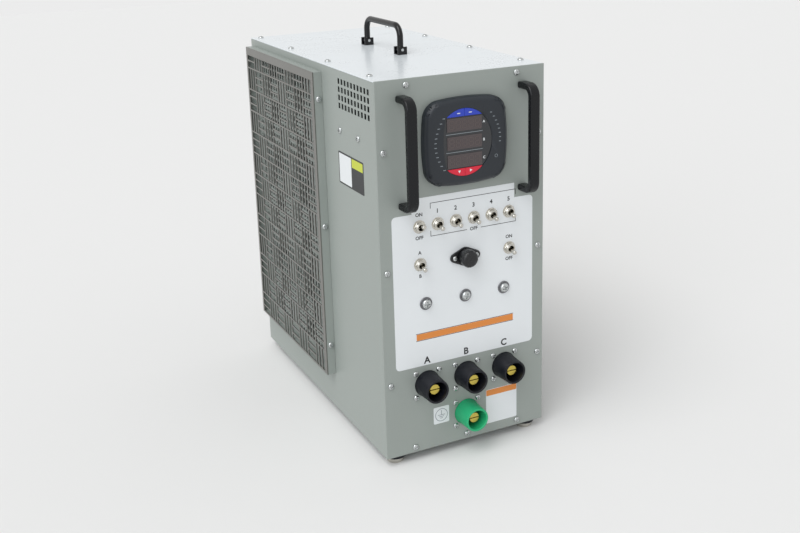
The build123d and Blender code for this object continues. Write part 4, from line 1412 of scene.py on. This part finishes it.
@dataclass
class SmallLabels:
    """Three small labels, bare apart from bands of colour and the earth symbol."""

    faces: CaseFaces
    side: tuple[float, float, float, float] = (42.8, 125.7, 362.7, 407.3)

    def build(self) -> None:
        """Make the side label, the earth label and the lower label."""
        self._side_label()
        self._earth_label()
        self._lower_label()

    def _plate(self, name: str, face: Face, x: Point, y: Point, finish: Finish, slot: str) -> None:
        """A thin film with round corners."""
        outline = rounded_rectangle(x[1] - x[0], y[1] - y[0], 2.0)
        place = face.matrix((x[0] + x[1]) / 2, (y[0] + y[1]) / 2)
        keep(Shape().prism(place, outline, -SINK, 0.25).object(name, finish), slot)

    def _side_label(self) -> None:
        """Black-bordered label on the left side, with two fields and a header."""
        y0, y1, z0, z1 = self.side
        x = (-y1, -y0)
        self._plate("side_label", self.faces.left, x, (z0, z1), INK_BLACK, "label_film")
        prints = Prints(self.faces.left, 0.25)
        middle, border = -(y0 + 0.47 * (y1 - y0)), 2.2
        rear_field = rounded_rectangle(middle - x[0] - 1.5 * border, z1 - z0 - 2 * border, 0.8)
        prints.area(INK_WHITE, rear_field, (x[0] + middle + 0.5 * border) / 2, (z0 + z1) / 2)
        header = rounded_rectangle(x[1] - middle - 1.5 * border, 12.0, 0.8)
        prints.area(INK_YELLOW, header, (x[1] + middle - 0.5 * border) / 2, z1 - border - 6.0)
        prints.build("side_label_print", "label_film")

    def _earth_label(self) -> None:
        """Pale square with the general earth symbol in a ring."""
        front, centre = self.faces.front, (-40.0, 46.5)
        self._plate("earth_label", front, (-52.0, -28.0), (34.0, 59.0), LABEL_FILM, "label_film")
        prints = Prints(front, 0.25)
        prints.ring(INK_GREY, centre, 9.2, 0.9)
        x, z = centre
        prints.line(INK_GREY, (x, z + 6.6), (x, z + 0.6), 0.9)
        for k, half in enumerate((5.2, 3.4, 1.6)):
            prints.line(INK_GREY, (x - half, z - 2.4 * k), (x + half, z - 2.4 * k), 0.9)
        prints.build("earth_print", "label_film")

    def _lower_label(self) -> None:
        """White label with an orange header, otherwise bare."""
        front = self.faces.front
        self._plate("lower_label", front, (31.0, 81.0), (14.0, 66.0), LABEL_FILM, "label_film")
        prints = Prints(front, 0.25)
        prints.area(INK_ORANGE, rounded_rectangle(49.2, 9.0, 1.2), 56.0, 61.0)
        prints.build("lower_label_print", "label_film")


# ------------------------------------------------------------------ switches, fuse, contacts
@dataclass
class ToggleSwitches:
    """Eight bat-lever switches with threaded bushings, nuts and washers.

    Args:
        faces: The faces of the case.
        tilt: Lean of a lever at rest.
    """

    faces: CaseFaces
    tilt: float = 13.0
    pivot: float = 1.0
    reach: float = 17.0
    bore: float = 4.2
    bushing: float = 6.0
    thread: float = 0.8

    def build(self) -> None:
        """Make the fixed parts as one piece and each lever as its own."""
        seats = {
            joint["name"][: -len("_toggle")]: Vector(joint["pos_m"])
            for joint in frame["record"]["behaviour"]["joints"] if joint["name"].endswith("_toggle")
        }
        fixed = Shape()
        front = self.faces.front
        for spot in seats.values():
            offset = (spot - front.start) / MM
            place = front.matrix(offset.x, offset.z)
            fixed.lathe(place, self._thread_profile(), loop=True)
            washer = [(0.3, self.bushing), (0.3, 9.0), (0.8, 9.0), (1.0, 8.7), (1.0, self.bushing)]
            fixed.lathe(place, washer, loop=True)
            nut = [(1.0, self.bushing), (1.0, 7.9), (2.5, 7.9), (2.9, 7.4), (2.9, self.bushing)]
            fixed.lathe(place, nut, sides=48, loop=True, wave=self._hexagon)
        keep(fixed.object("switch_bushings", NICKEL), "nickel_steel", "toggle_bushings")
        dress("toggle_cases", PHENOLIC)
        for name, spot in seats.items():
            self._lever(name, spot)

    @staticmethod
    def _hexagon(angle: float) -> float:
        """Factor that turns a circle into a hexagon with blunt corners."""
        sector = math.radians(60)
        off = (angle % sector) - sector / 2
        return min(1.0, math.cos(math.radians(27)) / math.cos(off))

    def _thread_profile(self) -> list[Point]:
        """Section of the bushing with its thread, from the panel to the mouth."""
        mouth, depth = 7.0, 0.35
        profile = [(-2.5, self.bore), (-2.5, self.bushing), (2.6, self.bushing)]
        turns = int((mouth - 0.6 - 2.6) / self.thread)
        for k in range(turns):
            start = 2.6 + k * self.thread
            profile += [
                (start + 0.3 * self.thread, self.bushing - depth),
                (start + 0.5 * self.thread, self.bushing - depth),
                (start + 0.9 * self.thread, self.bushing),
            ]
        return profile + [(mouth - 0.4, self.bushing), (mouth, 5.5), (mouth, 4.5), (6.7, self.bore)]

    def _lever(self, name: str, spot: Vector) -> None:
        """Turn one bat lever about its own leaning axis."""
        lean = math.radians(self.tilt if name == "master_load" else -self.tilt)
        outwards = self.faces.front.out
        along = outwards * math.cos(lean) + Vector((0, 0, 1)) * math.sin(lean)
        turned = along.to_track_quat("Z", "Y").to_matrix().to_4x4()
        length = (self.reach - self.pivot) / math.cos(lean)
        ball = 3.2
        profile = [(ball * math.sin(a), ball * math.cos(a)) for a in
                   [math.radians(d) for d in range(-90, 56, 12)]]
        profile += [(3.1, 1.75), (0.3 * length, 1.9), (0.75 * length, 2.75), (length - 1.9, 3.0)]
        profile += [(length - 1.0, 2.8), (length - 0.35, 2.2), (length - 0.06, 1.2), (length, 0)]
        lever = Shape().lathe(Matrix.Translation(spot) @ turned, profile, sides=28)
        node = name + "_lever"
        keep(lever.object(node + "_finished", NICKEL), "nickel_steel", node, body=node)


@dataclass
class FuseHolder:
    """The panel fuse holder with its turning knob."""

    faces: CaseFaces
    height: float = 271.3
    flutes: int = 18

    def build(self) -> None:
        """Make the base, the knob and the cartridge."""
        softened("fuse_holder", PHENOLIC, "phenolic", 0.5)
        dress("fuse_cartridge", FUSE_BODY)
        profile = [(3.3, 5.45), (3.3, 10.6), (4.2, 11.6), (5.0, 12.0), (14.0, 12.0)]
        profile += [(16.6, 11.5), (18.4, 10.2), (19.4, 8.2), (19.6, 7.4), (19.2, 6.9)]
        profile += [(19.2, 2.0), (19.9, 1.6), (20.0, 0.0)]
        inside = [(9.3, 0.0), (9.3, 5.45)]
        knob = Shape()
        place = self.faces.front.matrix(0, self.height)
        knob.lathe(place, inside + profile, sides=self.flutes * 6, wave=self._fluted)
        piece = knob.object("fuse_knob_finished", PHENOLIC)
        keep(piece, "phenolic", "fuse_knob", body="fuse_knob")

    def _fluted(self, angle: float) -> float:
        """Factor that presses shallow grip flutes into the knob."""
        return 1.0 - 0.022 * max(0.0, math.cos(angle * self.flutes)) ** 2


@dataclass
class Receptacles:
    """Four single-pole receptacles: a rubber sleeve round a slotted brass contact.

    Args:
        faces: The faces of the case.
        pitch: Step between the three phases.
        phase_z: Height of the phases.
        ground_z: Height of the ground contact.
    """

    faces: CaseFaces
    pitch: float = 60.2
    phase_z: float = 98.7
    ground_z: float = 41.7
    root: float = 18.5
    mouth: float = 16.8
    bore: float = 13.7
    reach: float = 31.0

    def build(self) -> None:
        """Make the sleeves and dress the contacts."""
        for name, across, up in (
            ("phase_a", -self.pitch, self.phase_z), ("phase_b", 0.0, self.phase_z),
            ("phase_c", self.pitch, self.phase_z), ("ground", 0.0, self.ground_z),
        ):
            green = name == "ground"
            finish = RUBBER_GREEN if green else RUBBER_BLACK
            sleeve = Shape().lathe(
                self.faces.front.matrix(across, up), self._profile(), sides=72, loop=True
            )
            piece = sleeve.object(name + "_sleeve_finished", finish)
            slot = "receptacle_green" if green else "receptacle_black"
            keep(piece, slot, name + "_sleeve")
        softened("contact_pins", BRASS, "contact_brass", 0.35)

    def _profile(self) -> list[Point]:
        """Section of the sleeve: a flared foot, a soft lip and a bore with a floor."""
        lip = 1.0
        taper = (self.root - self.mouth) / self.reach
        foot = [(-2.5, 6.0), (-2.5, self.root), (0.4, self.root), (1.4, self.root - 0.25)]
        waist = [(2.2, self.root - 0.55), (4.0, self.root - 4.0 * taper - 0.3)]
        rim = [(self.reach - lip, self.mouth + lip * taper), (self.reach - 0.3, self.mouth - 0.25)]
        rim += [(self.reach, self.mouth - lip), (self.reach, self.bore + 0.9)]
        inside = [(self.reach - 0.7, self.bore + 0.2), (self.reach - 2.0, self.bore)]
        inside += [(1.0, self.bore), (0.2, self.bore - 0.8), (0.0, 7.0), (0.0, 6.0)]
        return foot + waist + rim + inside


# ------------------------------------------------------------------ air path and inner parts
@dataclass
class IntakeFans:
    """Two axial fans behind ring guards on the right side.

    Args:
        faces: The faces of the case.
        wire: Thickness of the guard's wire.
        rings: Radii of the guard's rings.
        arms: Length of a guard arm from the middle.
    """

    faces: CaseFaces
    wire: float = 2.5
    rings: tuple[float, ...] = (34.0, 60.0, 86.0)
    arms: float = 112.0

    def build(self) -> None:
        """Make the guards and dress the fans."""
        softened("fan_frames", FAN_CASTING, "fan_casting", 0.6)
        for level in ("lower", "upper"):
            node = "fan_rotor_" + level
            softened(node, FAN_NYLON, "fan_black", 0.5, body=node)
        guards = Shape()
        right = self.faces.right
        for level in ("lower", "upper"):
            low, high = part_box("fan_rotor_" + level)
            across = ((low.y + high.y) / 2 - right.start.y) / MM
            up = ((low.z + high.z) / 2 - right.start.z) / MM
            self._guard(guards, right.matrix(across, up))
        keep(guards.object("fan_guards_finished", CHROME), "chrome_wire", "fan_guards")

    def _guard(self, guards: Shape, place: Matrix) -> None:
        """One guard: rings on two crossed wires."""
        half = self.wire / 2
        for radius in self.rings:
            section = [(1.5 * self.wire + a, radius + b) for a, b in circle(half, 10)]
            guards.lathe(place, section, sides=72, loop=True)
        for way in (Vector((1, 0, 0)), Vector((0, 1, 0))):
            turned = place.to_3x3()
            middle = place @ Vector((0, 0, half * MM))
            ends = [middle + turned @ way * self.arms * MM * k for k in (-1, 0, 1)]
            guards.sweep(ends, circle(half, 10), turned @ Vector((0, 0, 1)))


@dataclass
class InnerParts:
    """What shows a little through the screen, the vents and the fans."""

    def build(self) -> None:
        """Dress the inner nodes."""
        for node, finish in (
            # The rack's heat-scaled steel is darkened as painted shade for the shadowed inside of the
            # case.
            ("element_rack", SHADED_SCALED_STEEL), ("insulators", STEATITE), ("load_elements", ELEMENT_RIBBON),
            ("contactors", PHENOLIC), ("control_transformer", CORE_STEEL), ("bus_bars", COPPER),
            ("current_sensors", PHENOLIC),
        ):
            dress(node, finish)


# ------------------------------------------------------------------ camera, floor and light
@dataclass
class Studio:
    """A pale sweep, soft light and the camera.

    Args:
        eye: Place of the camera, in millimetres.
        yaw: Turn of the view from straight back towards the right, in degrees.
        pitch: Dip of the view, in degrees.
        roll: Turn about the view, in degrees.
    """

    eye: Place = (-660.4, -1437.0, 771.6)
    yaw: float = 26.53
    pitch: float = 15.72
    roll: float = -1.38
    lens: float = 49.11
    shift: Point = (-0.0299, -0.1)
    floor_half: float = 6000.0
    ambient: float = 0.56
    lamp_angle: float = 40.0

    def camera(self) -> None:
        """Place the camera."""
        data = bpy.data.cameras.new("camera")
        data.lens, data.sensor_width = self.lens, 36.0
        data.shift_x, data.shift_y = self.shift
        data.clip_start, data.clip_end = 0.05, 60.0
        yaw, pitch, roll = (math.radians(v) for v in (self.yaw, self.pitch, self.roll))
        view = Vector(
            (math.sin(yaw) * math.cos(pitch), math.cos(yaw) * math.cos(pitch), -math.sin(pitch))
        )
        level = Vector((math.cos(yaw), -math.sin(yaw), 0))
        rise = level.cross(view)
        across = level * math.cos(roll) + rise * math.sin(roll)
        up = rise * math.cos(roll) - level * math.sin(roll)
        thing = bpy.data.objects.new("camera", data)
        turned = Matrix((across, up, -view)).transposed().to_4x4()
        thing.matrix_world = Matrix.Translation(Vector(self.eye) * MM) @ turned
        bpy.context.scene.collection.objects.link(thing)
        bpy.context.scene.camera = thing

    def floor(self) -> None:
        """Lay the studio paper."""
        half = self.floor_half
        place = Matrix.Identity(4)
        sheet = Shape().bar(place, (-half, half), (-half, half), (-4.0, 0.0))
        sheet.object("studio_floor", STUDIO_PAPER)

    def _lamp(self, name: str, source: Place, strength: float, tint: str) -> None:
        """Hang one broad, distant lamp.

        Args:
            name: The lamp's name.
            source: Direction that the light comes from.
            strength: Light that a white sheet facing the lamp gives back.
            tint: Its colour as sRGB hex.
        """
        data = bpy.data.lights.new(name, "SUN")
        data.angle, data.energy = math.radians(self.lamp_angle), strength * math.pi
        data.color = linear(tint)[:3]
        lamp = bpy.data.objects.new(name, data)
        lamp.matrix_world = Vector(source).to_track_quat("Z", "Y").to_matrix().to_4x4()
        bpy.context.scene.collection.objects.link(lamp)

    def lights(self) -> None:
        """Light the object softly from above, left and front."""
        self._lamp("overhead", (-0.45, -0.2, 0.87), 0.42, "#FFFFFF")
        self._lamp("window_left", (-0.7, -0.55, 0.45), 0.24, "#F4F8FF")

    def world(self) -> None:
        """An even sky that the camera and mirrors see as the pale background."""
        world = bpy.data.worlds.new("studio")
        bpy.context.scene.world = world
        world.use_nodes = True
        tree = world.node_tree
        tree.nodes.clear()
        rays = add(tree, "ShaderNodeLightPath")
        seen: Any = rays.outputs["Is Camera Ray"]
        for ray in ("Is Glossy Ray", "Is Transmission Ray"):
            seen = add(tree, MATH, {"operation": "MAXIMUM"}, [seen, rays.outputs[ray]])
        light = {"Color": (1.0, 1.0, 1.0, 1.0), "Strength": self.ambient}
        sky = add(tree, "ShaderNodeBackground", inputs=light)
        backdrop = add(tree, "ShaderNodeBackground", inputs={"Color": linear("#ECECEC")})
        mixed = add(tree, "ShaderNodeMixShader", inputs={"Fac": seen})
        tree.links.new(sky.outputs[0], mixed.inputs[1])
        tree.links.new(backdrop.outputs[0], mixed.inputs[2])
        end = tree.nodes.new("ShaderNodeOutputWorld")
        tree.links.new(mixed.outputs[0], end.inputs[0])

    def build(self) -> None:
        """Make the camera first, then the floor and the light."""
        self.camera()
        self.floor()
        self.lights()
        self.world()
        bpy.context.scene.view_settings.view_transform = "Standard"


def main() -> None:
    """Build the load bank, piece by piece."""
    logging.basicConfig(level=logging.INFO, format="%(name)s: %(message)s")
    faces = CaseFaces.from_frame()
    Studio().build()
    grid = GridRepeat()
    SheetMetalCase(faces, grid).build()
    ExhaustGuard(faces, grid).build()
    FrontHandles().build()
    FoldingHandle(faces).build()
    PowerMeter(faces).build()
    ControlLabel(faces).build()
    SmallLabels(faces).build()
    ToggleSwitches(faces).build()
    FuseHolder(faces).build()
    Receptacles(faces).build()
    Fasteners(faces).build()
    IntakeFans(faces).build()
    InnerParts().build()


if __name__ == "__main__":
    main()
